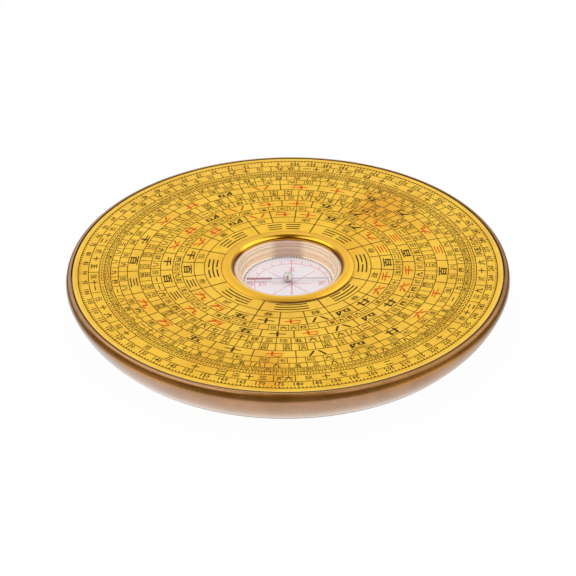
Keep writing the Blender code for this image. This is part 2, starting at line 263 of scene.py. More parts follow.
def clouded(name, size, dark, light, roughness, spread=0.0, relief=0.0, detail=2.0):
    """A plain finish: one cloudy noise moves it between two colours, and can roughen and raise it."""
    finish = Finish(name)
    cloud = finish.noise(size, detail)
    sockets = {"Normal": finish.bump(cloud, relief)} if relief else {}
    uneven = cloud * spread + roughness if spread else roughness
    return finish.surface(Base_Color=finish.mix(cloud, dark, light), Roughness=uneven, **sockets)


print("a finish knows its place, its clouds and its specks")

# %% [markdown]
# ## Studio
# The picture has a white ground and soft light from above. A real white table would need a lot of light
# to photograph as pure white, which would bleach the gold. So the floor is partly a lit surface, which
# takes the shadow, and mostly a plain white that only the camera and reflections see. In reflections
# that white fades to a dark grey a short way out from the body.

# %% Floor
FLOOR_SIZE = 6.0
FLOOR_WHITE = 0.86
FLOOR_ROUGHNESS = 0.9
SEEN_WHITE_SHARE = 0.975
NEAR_FLOOR = 0.070
FAR_FLOOR = 0.094
FAR_FLOOR_MIRRORED = 0.05


def light_path(network):
    """1 for the rays that see the ground as plain white: from the camera, in gloss and through glass."""
    kinds = ("Is Camera Ray", "Is Glossy Ray", "Is Transmission Ray")
    return [network.add("ShaderNodeLightPath", output=kind) for kind in kinds]


def make_floor():
    """A wide floor that keeps a soft shadow on white."""
    bpy.ops.mesh.primitive_plane_add(size=FLOOR_SIZE)
    floor = bpy.context.object
    floor.name = "floor"
    material = bpy.data.materials.new("floor_white")
    material.use_nodes = True
    network = Network(material.node_tree)
    lit = material.node_tree.nodes["Principled BSDF"]
    network.feed(lit.inputs["Base Color"], (FLOOR_WHITE,) * 3)
    network.feed(lit.inputs["Roughness"], FLOOR_ROUGHNESS)
    network.feed(lit.inputs["Specular IOR Level"], 0.0)
    camera_ray, glossy_ray, clear_ray = light_path(network)
    share = (camera_ray + glossy_ray + clear_ray) * SEEN_WHITE_SHARE
    distance = network.measure("LENGTH", network.add("ShaderNodeTexCoord", output="Object"))
    far = network.between(distance, NEAR_FLOOR, FAR_FLOOR)
    grey = 1 - glossy_ray * far * (1 - FAR_FLOOR_MIRRORED)
    white = network.add("ShaderNodeEmission", {}, {"Color": grey, "Strength": 1.0})
    both = network.add("ShaderNodeMixShader", {}, {0: share, 2: white})
    network.tree.links.new(lit.outputs[0], both.socket.node.inputs[1])
    network.tree.links.new(both.socket, network.tree.nodes["Material Output"].inputs["Surface"])
    floor.data.materials.append(material)
    return floor


print("floor of", make_floor().dimensions.x, "m")

# %% [markdown]
# ## What the compass mirrors
# Gold, gilt and lacquer show what stands round them. So the world gives a modest even light to every
# surface and plain white to the camera, but to reflections it shows what the bezel mirrors in the
# photograph. That is a bright wall low behind the compass, a soft box high on each side, and a warm
# shade overhead and in front. This shade draws the brown band along the body's shoulder and the deep
# tone in the bezel's roll.

# %% World
AMBIENT = 0.62
MIRRORED_BACK = 1.0
MIRRORED_HORIZON_SHARE = 0.50
MIRRORED_SHADE = 0.15
SHADE_COLOUR = (1.0, 0.46, 0.10)
OFF_MIDDLE = (0.06, 0.24)
WALL_GAIN_AT_SIDES = 0.38
WALL_FOOT = (0.12, 0.45)
WALL_EDGE = (0.66, 0.82)
SOFTBOX_POWER = 1.35
SOFTBOX_EDGE = (0.66, 0.86)
SOFTBOX_END = (0.14, 0.34)


def make_world():
    """Even light for surfaces, white for the camera, and a wall and two soft boxes for gloss."""
    world = bpy.data.worlds.new("studio")
    bpy.context.scene.world = world
    world.use_nodes = True
    network = Network(world.node_tree)
    camera_ray, glossy_ray, clear_ray = light_path(network)
    direction = network.add("ShaderNodeTexCoord", output="Generated")
    across, backward, upward = [network.part(direction, axis) for axis in range(3)]
    sideways = (across * across) ** 0.5
    off_middle = network.between(sideways, *OFF_MIDDLE) * WALL_GAIN_AT_SIDES
    wall = network.between(backward + off_middle, *WALL_EDGE)
    risen = network.between(upward, *WALL_FOOT)
    lit_wall = wall * (MIRRORED_HORIZON_SHARE + risen * (1 - MIRRORED_HORIZON_SHARE))
    height = sideways * 0.42 + across * 0.14 + upward * 0.90 - backward * 0.02
    softbox = network.between(height, *SOFTBOX_EDGE) * network.between(sideways, *SOFTBOX_END)
    lit = lit_wall * (MIRRORED_BACK - MIRRORED_SHADE) + softbox * SOFTBOX_POWER
    shade = (0.5 + network.between(backward, -0.9, 0.5) * 0.7) * MIRRORED_SHADE
    seen = camera_ray + clear_ray
    strength = seen + glossy_ray * (shade + lit) + (1 - seen - glossy_ray) * AMBIENT
    shaded = glossy_ray * network.until(lit, 0.0, 0.4)
    background = world.node_tree.nodes["Background"]
    network.feed(background.inputs["Color"], network.mix(shaded, (1.0, 1.0, 1.0), SHADE_COLOUR))
    network.feed(background.inputs["Strength"], strength)
    return len(network.tree.nodes)


print("world of", make_world(), "nodes")

# %% Lamp
LAMP_POWER = 3.6
LAMP_SIZE = 0.9
LAMP_PLACE = Vector((-0.12, 0.20, 0.80))


def make_lamp():
    """One large soft lamp above the compass and a little behind it."""
    lamp = bpy.data.objects.new("overhead_lamp", bpy.data.lights.new("overhead_lamp", "AREA"))
    bpy.context.scene.collection.objects.link(lamp)
    lamp.data.energy = LAMP_POWER
    lamp.data.size = LAMP_SIZE
    lamp.location = LAMP_PLACE
    lamp.rotation_mode = "QUATERNION"
    lamp.rotation_quaternion = (-LAMP_PLACE).to_track_quat("-Z", "Y")
    lamp.visible_glossy = False


make_lamp()
print("studio ready, lamp of", LAMP_POWER, "W")

# %% [markdown]
# ## Turning on the lathe
# Most pieces of this compass were turned: body, plate, bezel, cup, lens and hub. In Blender, half of
# the cross-section is drawn as a line of points and spun once round the middle. The line starts as a
# plane that is merged to a single point, and each further point is extruded from the last. Spinning
# leaves a double row where it closes, so the doubles are merged, and the faces are turned outwards.

# %% Lathe
MERGE_DISTANCE = 0.001 * MM


def deselect():
    """Leave no object selected, so that the next operator acts on its own piece alone."""
    if bpy.context.mode != "OBJECT":
        bpy.ops.object.mode_set(mode="OBJECT")
    bpy.ops.object.select_all(action="DESELECT")


def edit_all():
    """Enter edit mode with all of the piece selected."""
    bpy.ops.object.mode_set(mode="EDIT")
    bpy.ops.mesh.select_all(action="SELECT")


def spin_all(steps, angle=2 * pi, copies=False):
    """Spin all of the mesh round the Z axis, clockwise from above, as a skin or as separate copies."""
    bpy.ops.mesh.select_all(action="SELECT")
    bpy.ops.mesh.spin(steps=steps, dupli=copies, angle=angle, center=(0, 0, 0), axis=(0, 0, 1))


def tidy_edit():
    """Merge the doubles, turn the faces outwards and leave edit mode."""
    bpy.ops.mesh.select_all(action="SELECT")
    bpy.ops.mesh.remove_doubles(threshold=MERGE_DISTANCE)
    bpy.ops.mesh.normals_make_consistent(inside=False)
    bpy.ops.object.mode_set(mode="OBJECT")


def turn(outline, steps):
    """Draw a line of (radius, height) points and spin it once round the Z axis."""
    deselect()
    radius, height = outline[0]
    bpy.ops.mesh.primitive_plane_add(size=MM, location=(radius, 0, height))
    bpy.ops.object.transform_apply(location=True, rotation=False, scale=False)
    bpy.ops.object.mode_set(mode="EDIT")
    bpy.ops.mesh.merge(type="CENTER")
    for next_radius, next_height in outline[1:]:
        step = (next_radius - radius, 0, next_height - height)
        bpy.ops.mesh.extrude_region_move(TRANSFORM_OT_translate={"value": step})
        radius, height = next_radius, next_height
    spin_all(steps)
    tidy_edit()
    return bpy.context.object


print("lathe ready, doubles merge within", round(MERGE_DISTANCE / MM, 4), "mm")

# %% [markdown]
# ## Lines for the lathe, and the last touches
# A cross-section is made of straight runs, of elliptical arcs and of one shallow bow, and many pieces
# are plain rings with a rectangular section. Many pieces have their sharp edges broken by a small bevel.
# Every finished piece then gets the same last touches: its smooth stretches are shaded smooth, it is
# tied to the body that it moves with, and the solid that it stands for is hidden.

# %% Sections and last touches
SMOOTH_ANGLE = radians(34)
BEVEL_ANGLE = radians(40)


def arc(centre, across, up, start, end, steps=10):
    """Points of an elliptical arc in the cross-section, in degrees from outwards towards upwards."""
    angles = [radians(start + (end - start) * step / steps) for step in range(steps + 1)]
    return [(centre[0] + across * cos(angle), centre[1] + up * sin(angle)) for angle in angles]


def ring_section(inner, outer, low, high):
    """The closed rectangular section of a flat ring."""
    return [(inner, low), (outer, low), (outer, high), (inner, high), (inner, low)]


def round_edges(piece, width):
    """Break the sharp edges of a piece with a small bevel."""
    bevel = piece.modifiers.new("Edges", "BEVEL")
    bevel.width = width
    bevel.segments = 2
    bevel.limit_method = "ANGLE"
    bevel.angle_limit = BEVEL_ANGLE
    bpy.context.view_layer.objects.active = piece
    bpy.ops.object.modifier_apply(modifier=bevel.name)


def paint_faces(piece, finishes, choose):
    """Give a piece several finishes; the choice for a face is made by its centre's radius and level."""
    for finish in finishes:
        piece.data.materials.append(finish)
    for face in piece.data.polygons:
        radius = Vector((face.center.x, face.center.y)).length
        face.material_index = int(choose(radius, face.center.z))


def finish_piece(piece, name, body, finish, node=None):
    """Name a piece, smooth it, give it its finish, tie it to its body and hide the solid that it stands for.
    """
    deselect()
    piece.select_set(True)
    bpy.context.view_layer.objects.active = piece
    bpy.ops.object.shade_smooth_by_angle(angle=SMOOTH_ANGLE)
    piece.name = name
    piece.data.name = name
    if finish is not None:
        piece.data.materials.clear()
        piece.data.materials.append(finish)
    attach(piece, body)
    if node:
        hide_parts(node)
    print(name, "has", sum(len(face.vertices) - 2 for face in piece.data.polygons), "triangles")
    return piece


print("a quarter arc has", len(arc((0, 0), MM, MM, 0, 90)), "points")

# %% [markdown]
# ## Bronze lacquer: the paint
# The body is sprayed with a bronze metal paint. Towards the foot a paler colour paints the reflection of
# the white table, and along the top edge it paints a highlight. Round the left and right of the shoulder,
# painted light makes it warmer and lighter, and painted shade darkens the top edge there and on the
# right, and both ends of the belly. Painted shade lies along the brim beside the gap to the plate, and a
# painted shadow along the foot. Each of these is a named band across the body, and they are laid over the
# paint one by one.

# %% Paint of the body
# Besides the paint's own two browns: a paler colour for a painted highlight and a painted reflection, a warm
# one for painted light, and a dark one for painted shade and shadow.
LACQUER_DARK = (0.36, 0.138, 0.016)
LACQUER_LIGHT = (0.49, 0.205, 0.036)
LACQUER_PAINTED_LIGHT = (0.76, 0.40, 0.13)
LACQUER_SIDE_LIGHT = (0.86, 0.38, 0.055)
LACQUER_SHADE = (0.10, 0.048, 0.006)
FOOT_REFLECTION_LEVELS = (1.5 * MM, 6 * MM)
TOP_HIGHLIGHT_DEPTHS = (0.02 * MM, 0.30 * MM)
SIDE_LIGHT_START_DEPTHS = (0.6 * MM, 1.1 * MM)
SIDE_LIGHT_END_DEPTHS = (2.0 * MM, 2.6 * MM)
BRIM_DEPTHS = (0.0, 0.05 * MM)
BRIM_WIDTHS = (0.05 * MM, 0.25 * MM)
FOOT_SHADOW_HEIGHTS = (0.15 * MM, 0.50 * MM)


def lacquer_paint(finish, cloud, zones):
    """The colour of the paint with its painted highlight, reflection, light and shade, before the flakes and
    the shade at brim and foot.
    """
    belly, sides, right, ends = zones
    level = finish.along(2)
    depth = RIM_TOP - level
    # Painted highlight along the top edge, weaker at the sides, and a painted reflection of the white table
    # towards the foot; both mix in the paler colour.
    top_highlight = finish.until(depth, *TOP_HIGHLIGHT_DEPTHS) * (0.6 - sides * 0.5)
    thin = finish.until(level, *FOOT_REFLECTION_LEVELS) * 0.6 + top_highlight
    # Painted light: the shoulder is warmer and lighter at the left and right.
    warm = finish.between(depth, *SIDE_LIGHT_START_DEPTHS) * finish.until(depth, *SIDE_LIGHT_END_DEPTHS) * sides
    # Painted shade on the top edge at the sides and on the right, and at both ends of the belly.
    shade = (1 - belly) * (sides * 0.15 + right * 0.25) + belly * ends * 0.40
    paint = finish.mix(finish.between(cloud, 0.3, 0.7), LACQUER_DARK, LACQUER_LIGHT)
    paint = finish.mix(thin, paint, LACQUER_PAINTED_LIGHT)
    paint = finish.mix(warm * (0.8 - ends * 0.6), paint, LACQUER_SIDE_LIGHT)
    return finish.mix(shade, paint, LACQUER_SHADE)


def lacquer_dirt(finish):
    """How much painted shade a place gets: along the brim beside the gap to the plate, and as a painted
    shadow along the foot.
    """
    level = finish.along(2)
    brim = finish.until(finish.reach() - RECESS_RADIUS, *BRIM_WIDTHS)
    foot = finish.until(level - FOOT_LEVEL, *FOOT_SHADOW_HEIGHTS)
    return brim * finish.until(RIM_TOP - level, *BRIM_DEPTHS) * 0.8 + foot * 0.85


print("paint bands from", round(min(FOOT_REFLECTION_LEVELS) / MM, 1), "mm above the table to the rim")

# %% [markdown]
# ## Bronze lacquer: flakes, scratches and coat
# Seen close the lacquer is not one brown: metal flakes make it specked, the coat waves a little, and
# handling has left hairline scratches. Scattered points are the flakes, and the thin ridges of a
# stretched noise are the scratches. The clear coat is the shader's own, because it mirrors the white
# table under the belly. It is weaker on the shoulder and at the ends, where less white is seen in it.

# %% Bronze lacquer
FLAKE_COLOUR = (0.85, 0.56, 0.30)
FLAKE_SPACING = 0.55 * MM
SHOULDER_DEPTHS = (0.8 * MM, 1.5 * MM)
SIDES = (12 * MM, 40 * MM)
ENDS = (40 * MM, 60 * MM)
RIGHT_HALF = (-5 * MM, 25 * MM)
SCRATCH_SPACING = 2.6 * MM
SCRATCH_LIMITS = (0.0000004, 0.000012)


def bronze_lacquer():
    finish = Finish("bronze_lacquer")
    cloud = finish.noise(7 * MM, detail=3.0)
    belly = finish.between(RIM_TOP - finish.along(2), *SHOULDER_DEPTHS)
    sides = finish.beside(*SIDES)
    ends = finish.beside(*ENDS)
    right = finish.between(finish.along(0), *RIGHT_HALF)
    paint = lacquer_paint(finish, cloud, (belly, sides, right, ends))
    flakes = finish.until(finish.specks(FLAKE_SPACING), 0.10, 0.24)
    hair = finish.noise(SCRATCH_SPACING, detail=1.0, stretch=(1, 1, 6))
    patches = finish.between(finish.noise(16 * MM, detail=1.0), 0.52, 0.62)
    scratch = finish.until((hair - 0.5) ** 2, *SCRATCH_LIMITS) * patches
    colour = finish.mix(flakes * 0.35 + scratch * 0.55, paint, FLAKE_COLOUR)
    coat = 0.9 - (1 - belly) * (sides * 0.25 + right * 0.50) - belly * (sides * right * 0.5 + ends * 0.3)
    wave = finish.noise(0.9 * MM) * 0.8 + flakes * 0.2 - scratch * 0.4
    return finish.surface(
        # Painted shade along the brim and a painted shadow along the foot darken the colour.
        Base_Color=finish.mix(lacquer_dirt(finish), colour, LACQUER_SHADE),
        Metallic=0.65,
        Roughness=0.24 + cloud * 0.08 + scratch * 0.15,
        Specular_IOR_Level=0.3,
        Coat_Weight=coat,
        Coat_Roughness=0.12,
        Coat_IOR=1.8,
        Normal=finish.bump(wave, 0.02 * MM),
    )


lacquer = bronze_lacquer()

# %% [markdown]
# ## Inside the body
# The well under the capsule was never sprayed. Its bare plastic is pale and warm, and an emission paints
# the light that the clear capsule carries down to it, more at the left and right than in front. The wall
# of the recess beside the plate has painted shade.

# %% Plastic and painted shade
LIGHT_IN_WALL = 0.30
LIT_WALL_SIDES = (3 * MM, 5.5 * MM)


def bare_plastic():
    finish = Finish("bare_plastic")
    cloud = finish.noise(3 * MM, detail=3.0)
    return finish.surface(
        Base_Color=finish.mix(cloud, (0.88, 0.64, 0.46), (0.96, 0.73, 0.55)),
        Roughness=0.55,
        # Emission: painted light from the capsule, brighter at the left and right.
        Emission_Color=finish.mix(finish.beside(*LIT_WALL_SIDES), (0.56, 0.39, 0.26), (1.0, 0.78, 0.50)),
        Emission_Strength=LIGHT_IN_WALL,
        Normal=finish.bump(cloud, 0.01 * MM),
    )


plastic = bare_plastic()
# Dark painted shade on the wall of the recess beside the plate.
painted_gap_shade = clouded("gap_shade", 1.5 * MM, (0.070, 0.031, 0.003), (0.13, 0.060, 0.006), 0.8, detail=3.0)

# %% [markdown]
# ## The body
# The body is one turned bowl: a flat land round the plate, a rounded shoulder, a belly that draws in to
# the foot, and inside it the recess for the plate, the groove for the bezel and the well for the
# capsule. One cross-section says all of this, so it goes on the lathe. The plain solid has 72 flats, and
# this one has 240, so that its outline and the reflections in it stay round.

# %% Sizes of the body
BODY_STEPS = 240
SHOULDER_WIDTH = 1.25 * MM
SHOULDER_DEPTH = 2.3 * MM
BOWL_INSET = 5.4 * MM
BOWL_SAG = 0.72 * MM
FOOT_CHAMFER = 0.25 * MM
FOOT_WIDTH = 2.2 * MM
BRIM_CHAMFER = 0.08 * MM
PAD_CHAMFER = 0.1 * MM
SEAT_GAP = 0.15 * MM
FILM_GAP = 0.05 * MM
pad_low, pad_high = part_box("base_pad")
cup_low, cup_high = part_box("capsule_cup")
RECESS_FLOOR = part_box("plate_film")[0].z - FILM_GAP
CUP_TOP = cup_high.z
CUP_BOTTOM = cup_low.z
FLANGE_RADIUS = cup_high.x
FLANGE_THICKNESS = 1.15 * MM
FLANGE_WIDTH = 1.2 * MM
CUP_OUTER_RADIUS = FLANGE_RADIUS - FLANGE_WIDTH
WELL_DEPTH_UNDER_CUP = 0.6 * MM
WELL_FLOOR = CUP_BOTTOM - WELL_DEPTH_UNDER_CUP
WELL_RADIUS = CUP_OUTER_RADIUS + EDGE_GAP
LEDGE_TOP = CUP_TOP - FLANGE_THICKNESS - SEAT_GAP
COUNTERBORE_RADIUS = FLANGE_RADIUS + EDGE_GAP
GROOVE_WALL = 0.65 * MM
GROOVE_INNER = COUNTERBORE_RADIUS + GROOVE_WALL
TONGUE_WIDTH = 1.1 * MM
GROOVE_OUTER = GROOVE_INNER + TONGUE_WIDTH + 2 * EDGE_GAP
TONGUE_BOTTOM = bezel_low.z
LIP_BOTTOM = CUP_TOP + SEAT_GAP
print("well", round(WELL_RADIUS / MM, 2), "mm, groove from", round(GROOVE_INNER / MM, 2), "mm")


# %% The body
def bow(start, end, sag, steps=16):
    """Points of a shallow curve from start to end that swells outwards by sag in its middle."""
    run = Vector(end) - Vector(start)
    out = Vector((-run.y, run.x)).normalized()
    shares = [step / steps for step in range(steps + 1)]
    return [tuple(Vector(start) + run * share + out * (4 * sag * share * (1 - share))) for share in shares]


def body_outline():
    """The cross-section from the middle of the well, over the rim and back to the middle underneath."""
    land_radius = BODY_RADIUS - SHOULDER_WIDTH
    shoulder_level = RIM_TOP - SHOULDER_DEPTH
    foot_radius = BODY_RADIUS - BOWL_INSET
    foot_centre = (foot_radius - FOOT_CHAMFER, FOOT_LEVEL + FOOT_CHAMFER)
    pad_radius = foot_radius - FOOT_CHAMFER - FOOT_WIDTH
    inside = [
        (0, WELL_FLOOR),
        (WELL_RADIUS, WELL_FLOOR),
        (WELL_RADIUS, LEDGE_TOP),
        (COUNTERBORE_RADIUS, LEDGE_TOP),
        (COUNTERBORE_RADIUS, CUP_TOP),
        (GROOVE_INNER, CUP_TOP),
        (GROOVE_INNER, TONGUE_BOTTOM - SEAT_GAP),
        (GROOVE_OUTER, TONGUE_BOTTOM - SEAT_GAP),
        (GROOVE_OUTER, RECESS_FLOOR),
        (RECESS_RADIUS, RECESS_FLOOR),
        (RECESS_RADIUS, RIM_TOP - BRIM_CHAMFER),
        (RECESS_RADIUS + BRIM_CHAMFER, RIM_TOP),
    ]
    shoulder = arc((land_radius, shoulder_level), SHOULDER_WIDTH, SHOULDER_DEPTH, 90, 0, 18)
    belly = bow((BODY_RADIUS, shoulder_level), (foot_radius, FOOT_LEVEL + FOOT_CHAMFER), BOWL_SAG)[1:]
    foot = arc(foot_centre, FOOT_CHAMFER, FOOT_CHAMFER, -15, -90, 4)
    underside = [
        (pad_radius + PAD_CHAMFER, FOOT_LEVEL),
        (pad_radius, FOOT_LEVEL + PAD_CHAMFER),
        (pad_radius, pad_high.z + SEAT_GAP),
        (0, pad_high.z + SEAT_GAP),
    ]
    return inside + shoulder + belly + foot + underside


def body_part(radius, level):
    """Which finish a face of the body takes: 0 lacquer, 1 bare plastic, 2 painted shade."""
    if level > WELL_FLOOR - SEAT_GAP and radius < GROOVE_INNER:
        return 1
    beside_plate = PLATE_RADIUS < radius < RECESS_RADIUS + BRIM_CHAMFER
    return 2 if level > RECESS_FLOOR and beside_plate else 0


body = turn(body_outline(), BODY_STEPS)
paint_faces(body, (lacquer, plastic, painted_gap_shade), body_part)
finish_piece(body, "body_shell", "housing", None, "base_body")

# %% [markdown]
# ## The gold of the dial
# The plate is thin metal, printed yellow gold and lacquered. Its colour is the first thing anyone
# sees, and it isn't even: the gold is cloudy, and the lacquer has aged to orange in patches. The clouds
# are soft noise in two sizes. Each patch has a named place on the dial, given as a share of the plate's
# radius, and its edge is torn by more noise so that it doesn't look like a painted disc.

# %% Stains of the gold
STAIN_SHARES = (
    (0.47, 0.62, 0.17, 0.55),
    (0.43, 0.46, 0.20, 0.80),
    (0.34, 0.14, 0.16, 0.35),
    (0.66, 0.30, 0.15, 0.25),
    (-0.10, -0.80, 0.15, 0.70),
    (-0.08, -0.94, 0.09, 0.85),
    (-0.40, -0.76, 0.17, 0.45),
    (-0.55, -0.50, 0.16, 0.25),
    (-0.10, -0.37, 0.16, 0.30),
    (-0.85, -0.10, 0.15, 0.20),
    (0.05, 0.86, 0.14, 0.20),
)


def stains(finish):
    """How stained a place is: each row above is across, away, size and strength of one patch."""
    torn = finish.noise(6 * MM, detail=4.0, roughness=0.65)
    point = finish.place()
    stain = 0
    for across, away, size, strength in STAIN_SHARES:
        distance = finish.measure("DISTANCE", point, (across * PLATE_RADIUS, away * PLATE_RADIUS, PLATE_TOP))
        edge = size * PLATE_RADIUS
        stain = stain + finish.until(distance + (torn - 0.5) * edge, 0.15 * edge, 1.1 * edge) * strength
    return finish.between(stain * (0.45 + torn), 0.0, 1.1)


print("stains on the gold:", len(STAIN_SHARES))

# %% [markdown]
# ## The edges of the gold
# Along the outer edge the plate has painted shade, darker on the far side, and on the near side a painted
# highlight, with a thin painted shadow line at the very edge. At the near right a painted shadow lies
# beside the bezel. One direction on the dial says where that shadowed side is, and the bezel's own
# finish uses it again.

# %% Gold of the dial
GOLD_DEEP = (0.84, 0.470, 0.030)
GOLD_BRIGHT = (0.94, 0.575, 0.045)
STAIN_ORANGE = (0.76, 0.31, 0.014)
# Colours for painted shade and a painted highlight along the plate's edge.
EDGE_SHADE = (0.10, 0.046, 0.004)
EDGE_HIGHLIGHT = (1.0, 0.70, 0.20)
HIGHLIGHT_INSETS = (0.4 * MM, 0.9 * MM)
EDGE_SHADE_INSETS = (0.16 * MM, 0.36 * MM)
RIM_INSETS = (0.12 * MM, 0.20 * MM)
BEZEL_SHADOW_WIDTHS = (0.60 * MM, 0.90 * MM)
SHADOWED_SIDE = (0.45, -0.89, 0)


def dusty(finish, low_share, high_share):
    """1 at the near right of the bezel, where the painted shadow lies, between two shares of its radius."""
    towards = finish.measure("DOT_PRODUCT", finish.place(), SHADOWED_SIDE)
    return finish.between(towards, low_share * BEZEL_RADIUS, high_share * BEZEL_RADIUS)


def dial_gold():
    finish = Finish("dial_gold")
    stain = stains(finish)
    cloud = finish.noise(13 * MM, detail=3.0, roughness=0.6)
    fine = finish.noise(1.6 * MM)
    gold = finish.mix(finish.between(cloud * 0.75 + fine * 0.25, 0.33, 0.62), GOLD_DEEP, GOLD_BRIGHT)
    aged = finish.mix(stain * 0.75, gold, STAIN_ORANGE)
    reach = finish.reach()
    inset = PLATE_RADIUS - reach
    away = finish.between(finish.along(1), -0.3 * PLATE_RADIUS, 0.8 * PLATE_RADIUS)
    # Painted highlight along the plate's near edge.
    colour = finish.mix(finish.until(inset, *HIGHLIGHT_INSETS) * (1 - away) * 0.5, aged, EDGE_HIGHLIGHT)
    # Painted shade along the edge, darker on the far side, a thin painted shadow line at the near edge, and
    # a painted shadow beside the bezel at the near right.
    shaded_edge = finish.until(inset, *EDGE_SHADE_INSETS) * (0.20 + away * 0.65)
    rim = finish.until(inset, *RIM_INSETS) * (1 - away) * 0.6
    bezel_shadow = finish.until(reach - BEZEL_RADIUS, *BEZEL_SHADOW_WIDTHS) * dusty(finish, 0.60, 0.92) * 0.95
    return finish.surface(
        Base_Color=finish.mix(shaded_edge + rim + bezel_shadow, colour, EDGE_SHADE),
        Metallic=0.20,
        Roughness=0.40 + fine * 0.08 + stain * 0.10,
        Specular_IOR_Level=0.2,
        Normal=finish.bump(fine, 0.004 * MM),
    )


gold = dial_gold()

# %% [markdown]
# ## The dial plate
# The plate is a flat ring with a fine bevel round its top edge, which catches the light as a bright
# line beside the dark gap to the body. A flat ring could be a cylinder with a hole, but the lathe gives
# the ring and the bevel in one go, and a small fillet softens what the punch left. Its hole is a little
# smaller than the solid's, because the photograph shows only a fine seam between plate and bezel.

# %% The dial plate
PLATE_STEPS = 240
PLATE_BEVEL = 0.2 * MM
BEZEL_SEAM = 0.08 * MM
PLATE_HOLE = BEZEL_RADIUS + BEZEL_SEAM
plate_outline = [
    (PLATE_HOLE, plate_low.z),
    (PLATE_RADIUS, plate_low.z),
    (PLATE_RADIUS, PLATE_TOP - PLATE_BEVEL),
    (PLATE_RADIUS - PLATE_BEVEL, PLATE_TOP),
    (PLATE_HOLE, PLATE_TOP),
    (PLATE_HOLE, plate_low.z),
]
plate = turn(plate_outline, PLATE_STEPS)
round_edges(plate, 0.05 * MM)
finish_piece(plate, "dial_plate_gold", "housing", gold, "dial_plate")

# %% [markdown]
# ## Rings of the dial
# The dial is divided by fourteen circles into rings. Each ring is named for what it carries, and its
# inner and outer edge are shares of the plate's radius, measured in the photograph. Lines, signs and
# dots take their places from this one table.

# %% Rings of the dial
RING_SHARES = {
    "trigrams": (0.309, 0.387),
    "sparse": (0.387, 0.435),
    "first large": (0.435, 0.492),
    "seventy-two": (0.492, 0.534),
    "second large": (0.534, 0.591),
    "sixty": (0.591, 0.636),
    "pairs": (0.636, 0.692),
    "third large": (0.692, 0.744),
    "split": (0.744, 0.786),
    "uneven": (0.786, 0.822),
    "fine": (0.822, 0.852),
    "dots": (0.852, 0.875),
    "lodges": (0.875, 0.924),
    "degrees": (0.924, 0.972),
}


def middle_of(ring):
    """The radius of the middle of a ring."""
    return sum(RING_SHARES[ring]) / 2 * PLATE_RADIUS


print("the pairs of signs stand", round(middle_of("pairs") / MM, 1), "mm from the middle")

# %% [markdown]
# ## Printed lines
# Short radial lines part each ring into 8, 24, 60, 72 or 120 cells. On the real plate this is ink with
# a little body, so each line is a thin closed bar that stands a hair above the gold. A circle is a small
# rectangle spun round the middle, and a ring of radial lines is one bar whose copies the spin tool sets
# round the circle. Bearings are in degrees clockwise from the far side, which is the way the spin tool
# goes when seen from above.

# %% Bars and circles of ink
INK_TOP = PLATE_TOP + 0.025 * MM
INK_BOTTOM = PLATE_TOP - 0.015 * MM
INK_LEVEL = (INK_TOP + INK_BOTTOM) / 2
INK_DEPTH = INK_TOP - INK_BOTTOM
CIRCLE_STEPS = 300
CIRCLE_WIDTH = 0.23 * MM


def on_dial(bearing, radius, level=INK_LEVEL):
    """The point of the dial at a bearing and a radius."""
    angle = radians(bearing)
    return Vector((radius * sin(angle), radius * cos(angle), level))


def bar(length, width, bearing, radius):
    """A thin bar along a bearing, centred at a radius."""
    deselect()
    turned = (0, 0, -radians(bearing))
    size = (width, length, INK_DEPTH)
    bpy.ops.mesh.primitive_cube_add(size=1, location=on_dial(bearing, radius), rotation=turned, scale=size)
    bpy.ops.object.transform_apply(location=True, rotation=True, scale=True)
    return bpy.context.object


def repeat_round(made, count):
    """Set copies of a mark evenly round the circle, in one mesh."""
    deselect()
    made.select_set(True)
    bpy.context.view_layer.objects.active = made
    edit_all()
    spin_all(count, copies=True)
    tidy_edit()
    return made


def lines_across(ring, bearings, width, outer_ring=None):
    """A radial line at each bearing, across one ring or out to the edge of another."""
    inner = RING_SHARES[ring][0] * PLATE_RADIUS
    outer = RING_SHARES[outer_ring or ring][1] * PLATE_RADIUS
    return [bar(outer - inner, width, bearing, (outer + inner) / 2) for bearing in bearings]


def join(marks, name, finish):
    """Join printed marks into one piece of ink."""
    deselect()
    for mark in marks:
        mark.select_set(True)
    bpy.context.view_layer.objects.active = marks[0]
    bpy.ops.object.join()
    return finish_piece(bpy.context.object, name, "housing", finish)


print("ink stands", round((INK_TOP - PLATE_TOP) / MM, 3), "mm above the gold")

# %% Printed lines
EVEN_LINES = (
    ("trigrams", 155.0, 8, 0.38 * MM),
    ("sparse", 155.0, 24, 0.30 * MM),
    ("first large", 155.0, 24, 0.34 * MM),
    ("seventy-two", 155.0, 72, 0.22 * MM),
    ("second large", 147.5, 24, 0.32 * MM),
    ("sixty", 149.0, 60, 0.26 * MM),
    ("pairs", 149.0, 120, 0.23 * MM),
    ("third large", 147.5, 24, 0.30 * MM),
    ("split", 150.5, 120, 0.20 * MM),
)
lines = []
for shares in RING_SHARES.values():
    inner = shares[1] * PLATE_RADIUS - CIRCLE_WIDTH / 2
    lines.append(turn(ring_section(inner, inner + CIRCLE_WIDTH, INK_BOTTOM, INK_TOP), CIRCLE_STEPS))
for ring, bearing, count, width in EVEN_LINES:
    lines.append(repeat_round(lines_across(ring, [bearing], width)[0], count))
print("circles:", len(RING_SHARES), "rings of radial lines:", len(EVEN_LINES))

# %% [markdown]
# ## Uneven rings
# Two rings are not divided evenly. One has small cells of many widths, and one follows the lodges of
# the moon, whose traditional widths in degrees every such dial shares; the narrowest of the twenty-eight
# isn't drawn. A short list of widths, laid end to end and stretched to the full circle, gives the
# bearings, so each line is one bar. The fine ring is even again, and its lines run on through the dots.

